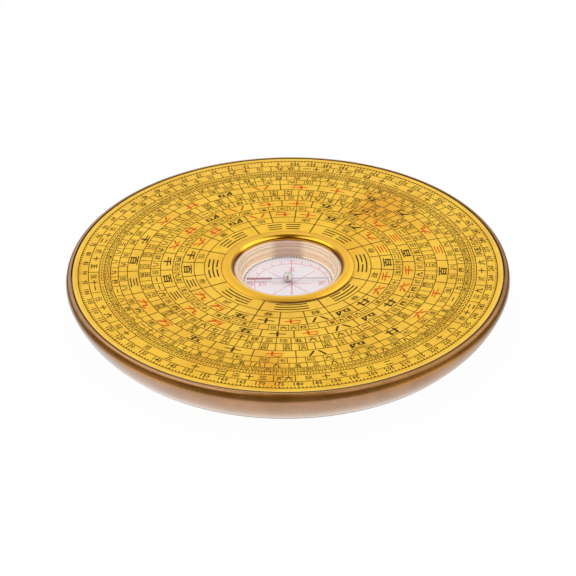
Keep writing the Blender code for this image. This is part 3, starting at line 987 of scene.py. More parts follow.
# %% Uneven rings
CELL_WIDTH_SHARES = (4.1, 3.6, 5.8, 5.8, 5.5, 5.5, 5.6, 5.5, 7.4, 4.3, 5.6, 8.1, 6.1, 5.0, 4.0, 6.3)
CELL_TURNS = 4
CELL_START = 137.7
LODGE_WIDTHS = (
    20, 17, 6, 13.5, 2.5, 30, 10, 16.5, 11, 15, 12.5, 18, 9, 17, 16, 9, 11, 7, 24.5, 10, 18, 6, 5.5, 16,
    9, 12, 18.5,
)
LODGE_START = 141.3
FINE_CELLS = 204
UNEVEN_LINE = 0.22 * MM
LODGE_LINE = 0.25 * MM
FINE_LINE = 0.18 * MM


def bearings_from(start, widths):
    """The bearings where cells of the given relative widths begin, once round the circle."""
    scale = 360 / sum(widths)
    bearings = []
    bearing = start
    for width in widths:
        bearings.append(bearing)
        bearing += width * scale
    return bearings


cell_bearings = bearings_from(CELL_START, CELL_WIDTH_SHARES * CELL_TURNS)
lodge_bearings = bearings_from(LODGE_START, LODGE_WIDTHS)
lines += lines_across("uneven", cell_bearings, UNEVEN_LINE)
lines += lines_across("lodges", lodge_bearings, LODGE_LINE)
lines.append(repeat_round(lines_across("fine", [CELL_START], FINE_LINE, "dots")[0], FINE_CELLS))
print("uneven cells:", len(cell_bearings), "lodges:", len(lodge_bearings))

# %% [markdown]
# ## Degree scale
# The outermost ring is a scale of degrees. Each degree is a small wedge that hangs from the outer circle
# with its point inwards, and every fifth is longer. One wedge is a bar whose inner end is pinched, and
# the spin tool copies it round. The whole scale is then turned a little, as it stands in the photograph.

# %% Degree scale
SOUTH = 177.5
TICK_LENGTH = 0.72 * MM
LONG_TICK_LENGTH = 0.98 * MM
TICK_WIDTH = 0.50 * MM
TICK_POINT_SHARE = 0.25
INNER_PART = 0.75


def select_edges(mesh, wanted):
    """Select the edges whose middle passes the test, with their ends, and return how many."""
    for group in (mesh.vertices, mesh.edges, mesh.polygons):
        for item in group:
            item.select = False
    for edge in mesh.edges:
        ends = [mesh.vertices[index] for index in edge.vertices]
        if wanted((ends[0].co + ends[1].co) / 2):
            for item in (edge, *ends):
                item.select = True
    return sum(edge.select for edge in mesh.edges)


def wedge_ring(count, length):
    """Wedges with their points towards the middle, set evenly along the outer circle."""
    outer = RING_SHARES["degrees"][1] * PLATE_RADIUS
    made = bar(length, TICK_WIDTH, 0.0, outer - length / 2)
    select_edges(made.data, lambda middle: middle.y < outer - INNER_PART * length)
    bpy.ops.object.mode_set(mode="EDIT")
    point = on_dial(0.0, outer - length)
    bpy.ops.transform.resize(value=(TICK_POINT_SHARE, 1, 1), center_override=point)
    bpy.ops.object.mode_set(mode="OBJECT")
    repeat_round(made, count)
    made.data.transform(Matrix.Rotation(-radians(SOUTH), 4, "Z"))
    return made


lines.append(wedge_ring(360, TICK_LENGTH))
lines.append(wedge_ring(72, LONG_TICK_LENGTH))
print("ticks: 360 short and 72 long")

# %% [markdown]
# ## Eight trigrams
# Round the bezel stand the eight trigrams of the old order, each three bars that are whole or broken.
# They bend with the ring, so a bar is a small rectangle spun through its own angle only, with its two
# ends filled afterwards. The bottom bar of a sign is the one nearest the middle.

# %% Eight trigrams
BAR_SHARES = (0.329, 0.348, 0.367)
BAR_WIDTH = 0.42 * MM
BAR_STEPS = 8
HALF_BAR_ANGLE = 12.5
HALF_BREAK_ANGLE = 1.6
TRIGRAMS = ("111", "110", "010", "100", "000", "001", "101", "011")


def curved_bar(share, start, end):
    """A bar that bends round the middle from one bearing to another."""
    deselect()
    turned = (pi / 2, 0, pi / 2 - radians(start))
    place = on_dial(start, share * PLATE_RADIUS)
    bpy.ops.mesh.primitive_plane_add(size=1, location=place, rotation=turned)
    made = bpy.context.object
    made.scale = (BAR_WIDTH, INK_DEPTH, 1)
    bpy.ops.object.transform_apply(location=True, rotation=True, scale=True)
    edit_all()
    bpy.ops.mesh.delete(type="ONLY_FACE")
    spin_all(BAR_STEPS, radians(end - start))
    bpy.ops.mesh.select_all(action="SELECT")
    bpy.ops.mesh.fill_holes(sides=4)
    tidy_edit()
    return made


def trigram(signs, bearing):
    """Three bars round a bearing; 1 is a whole bar and 0 a broken one, from the middle outwards."""
    made = []
    for sign, share in zip(signs, BAR_SHARES):
        start = bearing - HALF_BAR_ANGLE
        end = bearing + HALF_BAR_ANGLE
        if sign == "1":
            made.append(curved_bar(share, start, end))
        else:
            made.append(curved_bar(share, start, bearing - HALF_BREAK_ANGLE))
            made.append(curved_bar(share, bearing + HALF_BREAK_ANGLE, end))
    return made


bars = []
for index, signs in enumerate(TRIGRAMS):
    bars += trigram(signs, SOUTH + 45 * index)
print("trigram bars:", len(bars))

# %% [markdown]
# ## Ink
# The printing ink is nearly black in the large signs and browner in the lines, where the gold shines
# through a thinner film. The red ink is a warm vermilion. All are matt, and a fine noise thins them, as
# a screen print has.

# %% Ink
def ink(name, thin, thick):
    finish = Finish(name)
    cover = finish.between(finish.noise(0.5 * MM), 0.3, 0.6)
    return finish.surface(Base_Color=finish.mix(cover, thin, thick), Roughness=0.6, Specular_IOR_Level=0.1)


line_ink = ink("line_ink", (0.22, 0.105, 0.004), (0.115, 0.052, 0.003))
black_ink = ink("black_ink", (0.12, 0.056, 0.004), (0.045, 0.020, 0.003))
red_ink = ink("red_ink", (0.72, 0.15, 0.012), (0.62, 0.065, 0.008))
join(lines, "dial_lines", line_ink)
join(bars, "dial_trigrams", black_ink)

# %% [markdown]
# ## Signs from text
# The cells of the dial hold signs. Here every sign is a plain numeral: Chinese numerals in the cells
# and ordinary degrees on the outer scale. A text object is turned into a mesh once for each sign, its
# doubles are merged, and copies of that mesh are set round the dial with their heads towards the middle.
# Chinese numerals share one square, so they are scaled by that square, and not by their own outline.

# %% Signs from text
EM_CENTRE = Vector((0.5, 0.38, 0))
EM_SIZE = 0.92
DIGIT_CENTRE_HEIGHT = 0.345
DIGIT_HEIGHT = 0.69
TEXT_MERGE_DISTANCE = 0.0001
signs_made = {}


def sign_mesh(word, bold):
    """The mesh of a word, flat on the ground, one unit thick and centred."""
    key = (word, bold)
    if key not in signs_made:
        deselect()
        bpy.ops.object.text_add()
        text = bpy.context.object.data
        text.body = word
        text.extrude = 0.5
        text.offset = bold
        text.resolution_u = 1
        bpy.ops.object.convert(target="MESH")
        edit_all()
        bpy.ops.mesh.remove_doubles(threshold=TEXT_MERGE_DISTANCE)
        bpy.ops.object.mode_set(mode="OBJECT")
        made = bpy.context.object
        signs_made[key] = made.data
        bpy.data.objects.remove(made)
    return signs_made[key]


def set_sign(word, bearing, radius, size, bold=0.0, level=INK_LEVEL, depth=INK_DEPTH):
    """A copy of a word's mesh at a bearing and radius, with its head towards the middle."""
    width, height = size
    mesh = sign_mesh(word, bold).copy()
    if word.isascii():
        sides = [corner.co.x for corner in mesh.vertices]
        centre = Vector(((max(sides) + min(sides)) / 2, DIGIT_CENTRE_HEIGHT, 0))
        scale = Vector((width, height / DIGIT_HEIGHT, depth))
    else:
        centre = EM_CENTRE
        scale = Vector((width / EM_SIZE, height / EM_SIZE, depth))
    place = Matrix.Translation(on_dial(bearing, radius, level))
    turned = Matrix.Rotation(pi - radians(bearing), 4, "Z")
    mesh.transform(place @ turned @ Matrix.Diagonal((*scale, 1)) @ Matrix.Translation(-centre))
    made = bpy.data.objects.new("sign", mesh)
    bpy.context.scene.collection.objects.link(made)
    return made


print("one sign, for instance, has", len(sign_mesh("壹", 0.012).polygons), "faces")

# %% [markdown]
# ## Large signs
# Three rings have twenty-four large signs, in black and in red. Brushed signs have few, broad strokes, so
# these are the numerals with the fewest strokes, and made bold. The three rings show the same order, and
# the outer two are turned by half a cell, one each way.

# %% Large signs
BRUSHED_NUMERALS = "七十五万九三百千六廿四八"
COLOUR_ORDER = "RRBBRRBRRBBBRBBRRBBBRRBR"
COLOUR_START = 357.5
LARGE_SIZE = (4.6 * MM, 2.35 * MM)
LARGE_BOLD = 0.028
LARGE_RINGS = (("first large", 0.0), ("second large", -7.5), ("third large", 7.5))
marks = {"R": [], "B": []}
for ring, shift in LARGE_RINGS:
    for index, colour in enumerate(COLOUR_ORDER):
        word = BRUSHED_NUMERALS[index % len(BRUSHED_NUMERALS)]
        bearing = COLOUR_START + 15 * index + shift
        marks[colour].append(set_sign(word, bearing, middle_of(ring), LARGE_SIZE, LARGE_BOLD))
print("large signs:", len(marks["B"]), "black and", len(marks["R"]), "red")

# %% [markdown]
# ## Small signs
# The rings between hold small signs: in every other cell near the bezel, in most cells of the ring of
# seventy-two, in all of the ring of sixty, and in some cells of the two rings of a hundred and twenty,
# where the inner one has them in pairs, one above the other. Which numeral stands where should not
# repeat in a visible rhythm, so a seeded random choice fills them, the same on every run.

# %% Small signs
PLAIN_NUMERALS = "一二三四五六七八九十"
FORMAL_NUMERALS = "壹贰叁肆伍陆柒捌玖拾"
FORMAL_BOLD = 0.0
SMALL_BOLD = 0.030
SPARSE_SIZE = (2.6 * MM, 1.8 * MM)
SEVENTY_TWO_SIZE = (1.75 * MM, 1.55 * MM)
SIXTY_SIZE = (2.2 * MM, 1.85 * MM)
PAIR_SIZE = (1.5 * MM, 1.45 * MM)
PAIR_SHIFT = 0.80 * MM
SPLIT_NARROW_SIZE = (1.7 * MM, 1.5 * MM)
SPLIT_WIDE_SIZE = (1.9 * MM, 1.7 * MM)
chooser = random.Random(24)


def weight_of(word):
    """Plain numerals are made bold, and the dense formal ones are left as they are."""
    return FORMAL_BOLD if word in FORMAL_NUMERALS else SMALL_BOLD


def small_sign(ring, bearing, size, words=FORMAL_NUMERALS, shift=0.0):
    """One black sign, drawn by chance from some words, in the middle of a ring or shifted from it."""
    word = chooser.choice(words)
    marks["B"].append(set_sign(word, bearing, middle_of(ring) + shift, size, weight_of(word)))


for index in range(12):
    small_sign("sparse", 12.5 + 30 * index, SPARSE_SIZE)
for index in range(72):
    if index % 6 != 2:
        small_sign("seventy-two", 2.5 + 5 * index, SEVENTY_TWO_SIZE, PLAIN_NUMERALS + "壹伍柒")
for index in range(60):
    small_sign("sixty", 2.0 + 6 * index, SIXTY_SIZE, PLAIN_NUMERALS + "贰肆陆捌玖")
for index in range(24):
    for offset in (0.5, 9.5):
        small_sign("pairs", offset + 15 * index, PAIR_SIZE, "一三四五六八九十", PAIR_SHIFT)
        small_sign("pairs", offset + 15 * index, PAIR_SIZE, "二三四五六七九十", -PAIR_SHIFT)
for index in range(24):
    small_sign("split", 2.0 + 15 * index, SPLIT_NARROW_SIZE, "四五六七八九")
    small_sign("split", 8.0 + 15 * index, SPLIT_WIDE_SIZE)
print("signs so far:", len(marks["B"]) + len(marks["R"]))

# %% [markdown]
# ## The outer rings
# Outwards the cells grow smaller. A ring of uneven cells has one sign in each, and the finest ring has
# two hundred and four cells with a tiny sign. The lodges carry a sign and their width, and the last ring
# gives the degrees, which run against the clock from 0 at the far side to 355.

# %% The outer rings
DIGIT_SIZE = (2.05 * MM, 1.50 * MM)
DIGIT_BOLD = 0.018
DIGIT_SHARE = 0.9410
UNEVEN_SIZE = (1.9 * MM, 1.65 * MM)
FINE_SIZE = (1.10 * MM, 1.30 * MM)
LODGE_SIGN = 2.15 * MM
NARROW_LODGE = 5
LODGE_NUMERALS = "伍玖贰柒叁拾陆"
FINE_SIGNS = "二三十八六四"


def plain_number(value):
    """A number up to thirty in Chinese numerals."""
    tens, ones = divmod(value, 10)
    word = {0: "", 1: "十", 2: "二十", 3: "三十"}[tens]
    return word + (PLAIN_NUMERALS[ones - 1] if ones else "")


def lodge_signs(words, start, end):
    """Signs spread evenly between two bearings, in reading order for someone outside the ring."""
    size = min(LODGE_SIGN, (end - start) / len(words) * radians(1) * 0.9 * PLATE_RADIUS)
    width = (end - start) / (len(words) + 0.6)
    for index, word in enumerate(reversed(words)):
        bearing = start + width * (index + 0.8)
        sign = set_sign(word, bearing, middle_of("lodges"), (size, size * 0.95), weight_of(word))
        marks["B"].append(sign)


def round_the_circle(bearings):
    """Each bearing with the next one, and the last with the first, a full turn on."""
    return zip(bearings, bearings[1:] + [bearings[0] + 360])


for start, end in round_the_circle(cell_bearings):
    small_sign("uneven", (start + end) / 2, UNEVEN_SIZE, PLAIN_NUMERALS)
for index, (start, end) in enumerate(round_the_circle(lodge_bearings)):
    wide = LODGE_WIDTHS[index] > NARROW_LODGE
    first = LODGE_NUMERALS[index % len(LODGE_NUMERALS)] if wide else ""
    lodge_signs(first + plain_number(int(LODGE_WIDTHS[index])), start, end)
fine_bearings = [CELL_START + 360 / FINE_CELLS * (index + 0.5) for index in range(FINE_CELLS)]
for bearing in fine_bearings:
    small_sign("fine", bearing, FINE_SIZE, FINE_SIGNS)
for label in range(0, 360, 5):
    number = set_sign(str(label), COLOUR_START - label, DIGIT_SHARE * PLATE_RADIUS, DIGIT_SIZE, DIGIT_BOLD)
    marks["B"].append(number)
print("signs in all:", len(marks["B"]) + len(marks["R"]))

# %% [markdown]
# ## Dots
# Under each sign of the finest ring sits a dot, most of them black and a few red, and some cells are
# left empty. A dot this small needs no round outline, so each is a short six-sided bar.

# %% Dots under the fine ring
BLACK_DOT = 0.27 * MM
RED_DOT = 0.32 * MM
DOT_SIDES = 6


def dot(bearing, size):
    """A printed dot in the ring of dots."""
    deselect()
    place = on_dial(bearing, middle_of("dots"))
    bpy.ops.mesh.primitive_cylinder_add(vertices=DOT_SIDES, radius=size, depth=INK_DEPTH, location=place)
    bpy.ops.object.transform_apply(location=True, rotation=True, scale=True)
    return bpy.context.object


for bearing in fine_bearings:
    colour = chooser.choice("BBBBBBR-")
    if colour != "-":
        marks[colour].append(dot(bearing, RED_DOT if colour == "R" else BLACK_DOT))
join(marks["B"], "dial_signs_black", black_ink)
join(marks["R"], "dial_signs_red", red_ink)

# %% [markdown]
# ## Gilt bezel
# The bezel is turned brass, gilded and brushed to a satin. It swells from the plate to a crest and rolls
# down over the capsule. The roll is polished and the swell is satin, so the roughness grows past the
# crest, and a fine brushing varies it. Painted shade darkens the gilding to brown at the left and right
# of the roll and on the nearest part of the swell, and a thin painted shadow runs along the outer edge,
# strongest at the near right. The inner lip is a darker brown all round. On the near side a painted
# reflection of the white card makes the inner lip pale.

# %% Gilt
CREST_WIDTH = 1.3 * MM
WINDOW_LIP = 0.9 * MM
WINDOW_RADIUS = FLANGE_RADIUS - WINDOW_LIP
CREST_RADIUS = WINDOW_RADIUS + CREST_WIDTH
# The brown paints shade and a darker inner lip; the pale colour paints a reflection of the white card.
GILT_BROWN = (0.19, 0.050, 0.003)
GILT_CARD_REFLECTION = (1.0, 0.84, 0.66)
INNER_WIDTHS = (0.0, 0.3 * MM)
ROLL_SHADE_SIDES = (12.0 * MM, 14.5 * MM)
ROLL_SHADE_AWAY = (-7.0 * MM, -4.5 * MM)
ROLL_SHADE_WIDTHS = (0.45 * MM, CREST_WIDTH + 0.1 * MM)
NEAREST_SHARES = (-0.98, -0.80)
NEAR_SHADE_RADII = (CREST_RADIUS + 0.3 * MM, BEZEL_RADIUS - 0.1 * MM)
OUTER_RADII = (BEZEL_RADIUS - 0.25 * MM, BEZEL_RADIUS - 0.04 * MM)
CARD_REFLECTION_WIDTHS = (0.95 * MM, 1.40 * MM)
NEAR_LIP_SHARES = (-0.85, -0.45)
SATIN_RADII = (CREST_RADIUS - 0.1 * MM, CREST_RADIUS + 0.5 * MM)


def gilt():
    finish = Finish("gilt")
    cloud = finish.noise(4 * MM)
    fine = finish.noise(0.35 * MM, stretch=(1, 1, 3))
    reach = finish.reach()
    lip = reach - WINDOW_RADIUS
    away = finish.along(1)
    roll_shade = finish.beside(*ROLL_SHADE_SIDES) * finish.between(away, *ROLL_SHADE_AWAY)
    nearest = finish.until(away, *[share * BEZEL_RADIUS for share in NEAREST_SHARES])
    # The brown share: a darker inner lip next to the capsule, painted shade at the left and right of the
    # roll and on the nearest part of the swell, and a thin painted shadow along the outer edge, strongest at
    # the near right.
    brown = finish.until(lip, *INNER_WIDTHS) * 0.30
    brown = brown + roll_shade * finish.until(lip, *ROLL_SHADE_WIDTHS) * 0.92
    brown = brown + nearest * finish.between(reach, *NEAR_SHADE_RADII) * 0.38
    brown = brown + finish.between(reach, *OUTER_RADII) * (0.15 + dusty(finish, 0.60, 0.95) * 0.80)
    # A painted reflection of the white card makes the near part of the inner lip pale.
    near_lip = finish.until(away, *[share * WINDOW_RADIUS for share in NEAR_LIP_SHARES])
    bright = finish.mix(cloud, (0.89, 0.505, 0.036), (0.96, 0.575, 0.060))
    pale = finish.mix(finish.until(lip, *CARD_REFLECTION_WIDTHS) * near_lip * 0.85, bright, GILT_CARD_REFLECTION)
    satin = finish.between(reach, *SATIN_RADII)
    return finish.surface(
        Base_Color=finish.mix(brown, pale, GILT_BROWN),
        Metallic=1.0,
        Roughness=0.15 + satin * 0.27 + cloud * 0.05 + fine * 0.05,
        Normal=finish.bump(fine, 0.001 * MM),
    )


gilding = gilt()

# %% [markdown]
# ## Shape of the bezel
# The section is the solid's: two elliptical arcs that meet at the crest, a straight outer edge, and the
# tongue that drops into the body's groove. It has enough steps that the roll reflects without facets.

# %% Gilt bezel
BEZEL_STEPS = 160
LIP_THICKNESS = 0.15 * MM
EDGE_UNDER_PLATE = 0.15 * MM


def bezel_outline():
    """The cross-section from the inner lip over the crest to the tongue and back."""
    lip_level = LIP_BOTTOM + LIP_THICKNESS
    edge_level = PLATE_TOP - EDGE_UNDER_PLATE
    tongue_inner = GROOVE_INNER + EDGE_GAP
    tongue_outer = tongue_inner + TONGUE_WIDTH
    roll = arc((CREST_RADIUS, lip_level), CREST_WIDTH, bezel_high.z - lip_level, 180, 90, 14)
    swell_width = BEZEL_RADIUS - CREST_RADIUS
    swell = arc((CREST_RADIUS, edge_level), swell_width, bezel_high.z - edge_level, 90, 0, 14)
    foot = [
        (BEZEL_RADIUS, RECESS_FLOOR + SEAT_GAP),
        (tongue_outer, RECESS_FLOOR + SEAT_GAP),
        (tongue_outer, TONGUE_BOTTOM),
        (tongue_inner, TONGUE_BOTTOM),
        (tongue_inner, LIP_BOTTOM),
        (WINDOW_RADIUS, LIP_BOTTOM),
    ]
    return roll + swell[1:] + foot + roll[:1]


bezel = turn(bezel_outline(), BEZEL_STEPS)
finish_piece(bezel, "bezel_gilt", "housing", gilding, "bezel_ring")

# %% [markdown]
# ## Clear acrylic
# Cup and lens are moulded from clear acrylic. Real glass shading would bend the light and leave the
# well dark with few samples, so the clearness here is transparency: nearly open where the wall is
# looked at square on, and milky and bright where it is seen edge on. Layer Weight tells the two apart.
# A few soft bands run round the wall as the steps of the mould. Painted light makes the wall brighter at
# the left and right, where the light comes in from the side, and an emission paints the bands glowing
# there; under the bezel's lip the wall in front has painted shade.

# %% Clear acrylic
BAND_LEVELS = (10.2 * MM, 9.15 * MM, 7.6 * MM)
BAND_WIDTH = 0.25 * MM
LIP_SHADE = (0.34, 0.23, 0.16)
LIP_SHADE_RADII = (WINDOW_RADIUS - 0.8 * MM, WINDOW_RADIUS - 0.2 * MM)
BRIGHT_SIDES = (3 * MM, 5.5 * MM)
FAR_SIDES = (10 * MM, 14.5 * MM)
RIDGE_GLOW = 0.45


def bands(finish):
    """Soft bright bands at a few levels of the wall."""
    level = finish.along(2)
    made = 0
    for middle in BAND_LEVELS:
        rise = finish.between(level, middle - BAND_WIDTH, middle)
        fall = finish.between(level, middle, middle + BAND_WIDTH)
        made = made + (rise - fall)
    return made


def clear_acrylic(name, shares, low, high):
    """Clear plastic that covers a little, more where it is seen edge on and more in the bands, with painted
    light at the left and right and painted shade under the bezel's lip.
    """
    body_share, edge_share, band_share = shares
    finish = Finish(name)
    # Painted light: brighter at the left and right, and less again far out at the sides.
    sides = finish.beside(*BRIGHT_SIDES) - finish.beside(*FAR_SIDES) * 0.45
    ridges = bands(finish)
    streak = finish.noise(2.5 * MM, detail=1.0, stretch=(1, 1, 0.3))
    colour = finish.mix(sides * 0.8 + streak * 0.2, low, high)
    shaded = finish.between(finish.reach(), *LIP_SHADE_RADII) * (1 - sides) * 0.6
    facing = finish.add("ShaderNodeLayerWeight", {}, {"Blend": 0.35}, output="Facing")
    return finish.surface(
        Base_Color=finish.mix(shaded, colour, LIP_SHADE),
        Roughness=0.06,
        Alpha=body_share + facing ** 2.0 * edge_share + streak * 0.03 + ridges * band_share,
        # Emission paints the bands glowing at the left and right.
        Emission_Color=finish.mix(ridges * sides, (0.0, 0.0, 0.0), (1.0, 0.84, 0.60)),
        Emission_Strength=RIDGE_GLOW,
        Normal=finish.bump(streak, 0.01 * MM),
    )


cup_acrylic = clear_acrylic("cup_acrylic", (0.22, 0.30, 0.34), (0.84, 0.60, 0.43), (1.0, 0.80, 0.54))
rim_acrylic = clear_acrylic("rim_acrylic", (0.80, 0.20, 0.0), (0.86, 0.62, 0.45), (1.0, 0.86, 0.64))
lens_acrylic = clear_acrylic("lens_acrylic", (0.02, 0.20, 0.0), (0.88, 0.84, 0.82), (0.96, 0.93, 0.91))

# %% [markdown]
# ## Cup and lens
# The cup hangs by its flange, and a step inside it carries the lens. The rims of both catch the light,
# so the faces of the flange, of the step and of the lens's edge take a denser acrylic.

# %% Cup and lens
CUP_STEPS = 120
CUP_WALL = 1.5 * MM
CUP_INNER_RADIUS = CUP_OUTER_RADIUS - CUP_WALL
STEP_WIDTH = 0.85 * MM
RABBET_RADIUS = CUP_INNER_RADIUS + STEP_WIDTH
RIM_MARGIN = 0.1 * MM
lens_low, lens_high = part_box("capsule_lens")
card_low, card_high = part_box("compass_card")
LENS_RADIUS = lens_high.x
LENS_STEP = lens_low.z - SEAT_GAP
CUP_FLOOR_TOP = card_low.z - FILM_GAP
BUSH_HOLE = 1.35 * MM


def cup_rim(radius, level):
    """True on the flange's top and on the step under the lens."""
    on_flange = radius > RABBET_RADIUS - RIM_MARGIN and level > CUP_TOP - 2 * RIM_MARGIN
    on_step = radius > CUP_INNER_RADIUS - RIM_MARGIN and abs(level - LENS_STEP) < RIM_MARGIN
    return on_flange or on_step


def lens_edge(radius, level):
    """True on the lens's outer edge."""
    return radius > LENS_RADIUS - 2 * RIM_MARGIN


cup_outline = [
    (BUSH_HOLE, CUP_FLOOR_TOP),
    (CUP_INNER_RADIUS, CUP_FLOOR_TOP),
    (CUP_INNER_RADIUS, LENS_STEP),
    (RABBET_RADIUS, LENS_STEP),
    (RABBET_RADIUS, CUP_TOP),
    (FLANGE_RADIUS, CUP_TOP),
    (FLANGE_RADIUS, CUP_TOP - FLANGE_THICKNESS),
    (CUP_OUTER_RADIUS, CUP_TOP - FLANGE_THICKNESS),
    (CUP_OUTER_RADIUS, CUP_BOTTOM),
    (BUSH_HOLE, CUP_BOTTOM),
    (BUSH_HOLE, CUP_FLOOR_TOP),
]
cup = turn(cup_outline, CUP_STEPS)
round_edges(cup, 0.12 * MM)
paint_faces(cup, (cup_acrylic, rim_acrylic), cup_rim)
finish_piece(cup, "cup_clear", "housing", None, "capsule_cup")
lens_outline = [(0, lens_high.z), (LENS_RADIUS, lens_high.z), (LENS_RADIUS, lens_low.z), (0, lens_low.z)]
lens = turn(lens_outline, CUP_STEPS)
round_edges(lens, 0.15 * MM)
paint_faces(lens, (lens_acrylic, rim_acrylic), lens_edge)
finish_piece(lens, "lens_clear", "housing", None, "capsule_lens")

# %% [markdown]
# ## The card
# Under the needle lies a white card. It is stiff paper with a faint fibre, punched round, with a hole
# for the pin, so it is a flat ring off the lathe whose edges are hardly broken.

# %% The card
CARD_TOP = card_high.z
CARD_HOLE = 0.6 * MM
paper = clouded(
    "card_white", 0.6 * MM, (0.84, 0.78, 0.84), (0.90, 0.85, 0.90), 0.6, relief=0.004 * MM, detail=3.0,
)
card = turn(ring_section(CARD_HOLE, card_high.x, card_low.z, CARD_TOP), CUP_STEPS)
round_edges(card, 0.04 * MM)
finish_piece(card, "card_paper", "housing", paper, "compass_card")

# %% [markdown]
# ## The rose on the card
# The card is printed with a pink compass rose: a circle with ticks outside it, rays from the middle, a
# mark in each quarter and the plain numbers 0, 90 and 270 beside the circle. The rose was printed a
# little off the card's centre, as the photograph shows, and is left so. Lengths in the two tables are in
# millimetres, from the rose's centre outwards.

# %% The rose on the card
CARD_INK_DEPTH = 0.03 * MM
CARD_INK_LEVEL = CARD_TOP + 0.01 * MM
ROSE_CENTRE = Vector((1.1 * MM, -1.45 * MM, 0))
ROSE_RADIUS = 10.75 * MM
ROSE_LINE = 0.20 * MM
ROSE_STEPS = 96
ROSE_TICKS = 24
TICK_BARS = ((0.9 * MM, 0.2 * MM, 0.5 * MM), (0.22 * MM, 0.5 * MM, 1.0 * MM))
RAYS = (
    (0, 0.0, 10.6, 0.22),
    (45, 0.0, 9.5, 0.2),
    (90, 0.0, 5.8, 0.2),
    (135, 0.0, 7.9, 0.2),
    (180, 0.0, 5.6, 0.36),
    (225, 0.0, 7.9, 0.2),
    (270, 0.0, 0.4, 0.2),
    (270, 1.9, 5.8, 0.2),
    (315, 2.2, 9.5, 0.2),
)
QUARTER_SIGNS = ((0, "五", 7.7), (90, "贰", 8.7), (180, "三", 8.3), (270, "四", 8.4))
QUARTER_SIZE = (2.2 * MM, 2.3 * MM)
NUMBER_SIZE = (1.8 * MM, 1.6 * MM)
NUMBER_DISTANCE = 12.1 * MM
NUMBER_BOLD = 0.012


def card_bar(length, width, bearing, radius):
    """A thin bar on the card, along a bearing from the rose's centre."""
    made = bar(length, width, bearing, radius)
    made.data.transform(Matrix.Translation((0, 0, CARD_INK_LEVEL - INK_LEVEL)))
    return made


def card_sign(word, size, bold):
    """An upright sign on the card, in the rose's centre."""
    return set_sign(word, 180, 0, size, bold, CARD_INK_LEVEL, CARD_INK_DEPTH)


circle_levels = (CARD_INK_LEVEL - CARD_INK_DEPTH / 2, CARD_INK_LEVEL + CARD_INK_DEPTH / 2)
circle_section = ring_section(ROSE_RADIUS - ROSE_LINE / 2, ROSE_RADIUS + ROSE_LINE / 2, *circle_levels)
rose = [turn(circle_section, ROSE_STEPS)]
for index in range(ROSE_TICKS):
    for length, width, beyond in TICK_BARS:
        rose.append(card_bar(length, width, 360 / ROSE_TICKS * index, ROSE_RADIUS + beyond))
for bearing, start, end, width in RAYS:
    rose.append(card_bar((end - start) * MM, width * MM, bearing, (start + end) / 2 * MM))
for bearing, word, distance in QUARTER_SIGNS:
    sign = card_sign(word, QUARTER_SIZE, FORMAL_BOLD)
    sign.data.transform(Matrix.Translation(on_dial(bearing, distance * MM, 0)))
    rose.append(sign)
for bearing in (0, 90, 270):
    number = card_sign(str(bearing), NUMBER_SIZE, NUMBER_BOLD)
    outward = Matrix.Translation((0, NUMBER_DISTANCE, 0))
    number.data.transform(Matrix.Rotation(-radians(bearing), 4, "Z") @ outward)
    rose.append(number)
for part in rose:
    part.data.transform(Matrix.Translation(ROSE_CENTRE))
pink_ink = ink("pink_ink", (0.86, 0.42, 0.47), (0.78, 0.20, 0.28))
join(rose, "card_rose", pink_ink)

# %% [markdown]
# ## Scale and wire on the card
# The black scale is a ring of fine bars along the card's edge, made like those of the dial. A bright
# wire ring sprung into the cup holds the card down: a small circle spun round. Painted light in its
# colour and an emission make it shine only at the left and right, where the clear cup brings light to it.

# %% Scale and wire on the card
RIM_SCALE_COUNT = 90
RIM_BAR_LENGTH = 0.50 * MM
RIM_BAR_WIDTH = 0.38 * MM
RIM_BAR_INSET = 0.38 * MM
WIRE_SIDES = (3.5 * MM, 5.5 * MM)
ring_low, ring_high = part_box("card_ring")
WIRE_RADIUS = (ring_high.z - ring_low.z) / 2
WIRE_MIDDLE = ring_high.x - WIRE_RADIUS
RIM_BAR_RADIUS = WIRE_MIDDLE - WIRE_RADIUS - RIM_BAR_INSET


def pale_wire():
    finish = Finish("pale_wire")
    cloud = finish.noise(0.8 * MM)
    # Painted light: the wire is darker in front and behind, and bright and glowing at the left and right.
    sides = finish.beside(*WIRE_SIDES)
    return finish.surface(
        Base_Color=finish.mix(sides * 0.8 + cloud * 0.2, (0.42, 0.32, 0.25), (1.0, 0.94, 0.70)),
        Metallic=0.2,
        Roughness=0.3,
        Emission_Color=finish.mix(sides * 0.9 + cloud * 0.1, (0.10, 0.08, 0.06), (1.0, 0.92, 0.66)),
        Emission_Strength=0.30,
    )


scale_bar = card_bar(RIM_BAR_LENGTH, RIM_BAR_WIDTH, 0, RIM_BAR_RADIUS)
join([repeat_round(scale_bar, RIM_SCALE_COUNT)], "card_scale", black_ink)
wire = turn(arc((WIRE_MIDDLE, ring_low.z + WIRE_RADIUS), WIRE_RADIUS, WIRE_RADIUS, 180, -180), CUP_STEPS)
finish_piece(wire, "card_wire", "housing", pale_wire(), "card_ring")

# %% [markdown]
# ## Pivot and film
# The needle turns on a steel pin in a brass bush. Their solids have the right shape at this size, so
# they stay and only take a finish, as does the adhesive film under the plate, which no one sees. Air
# and fingers have dulled the metals in places.

# %% Pivot and film
def bright_metal(name, colour, dull, roughness):
    finish = Finish(name)
    cloud = finish.noise(0.8 * MM)
    base = finish.mix(finish.between(cloud, 0.35, 0.7), colour, dull)
    return finish.surface(Base_Color=base, Metallic=1.0, Roughness=roughness + cloud * 0.1)


def dress_node(node, material):
    """Give a solid that stays its finish."""
    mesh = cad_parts[node].data
    mesh.materials.clear()
    mesh.materials.append(material)
    print(node, "keeps its solid")


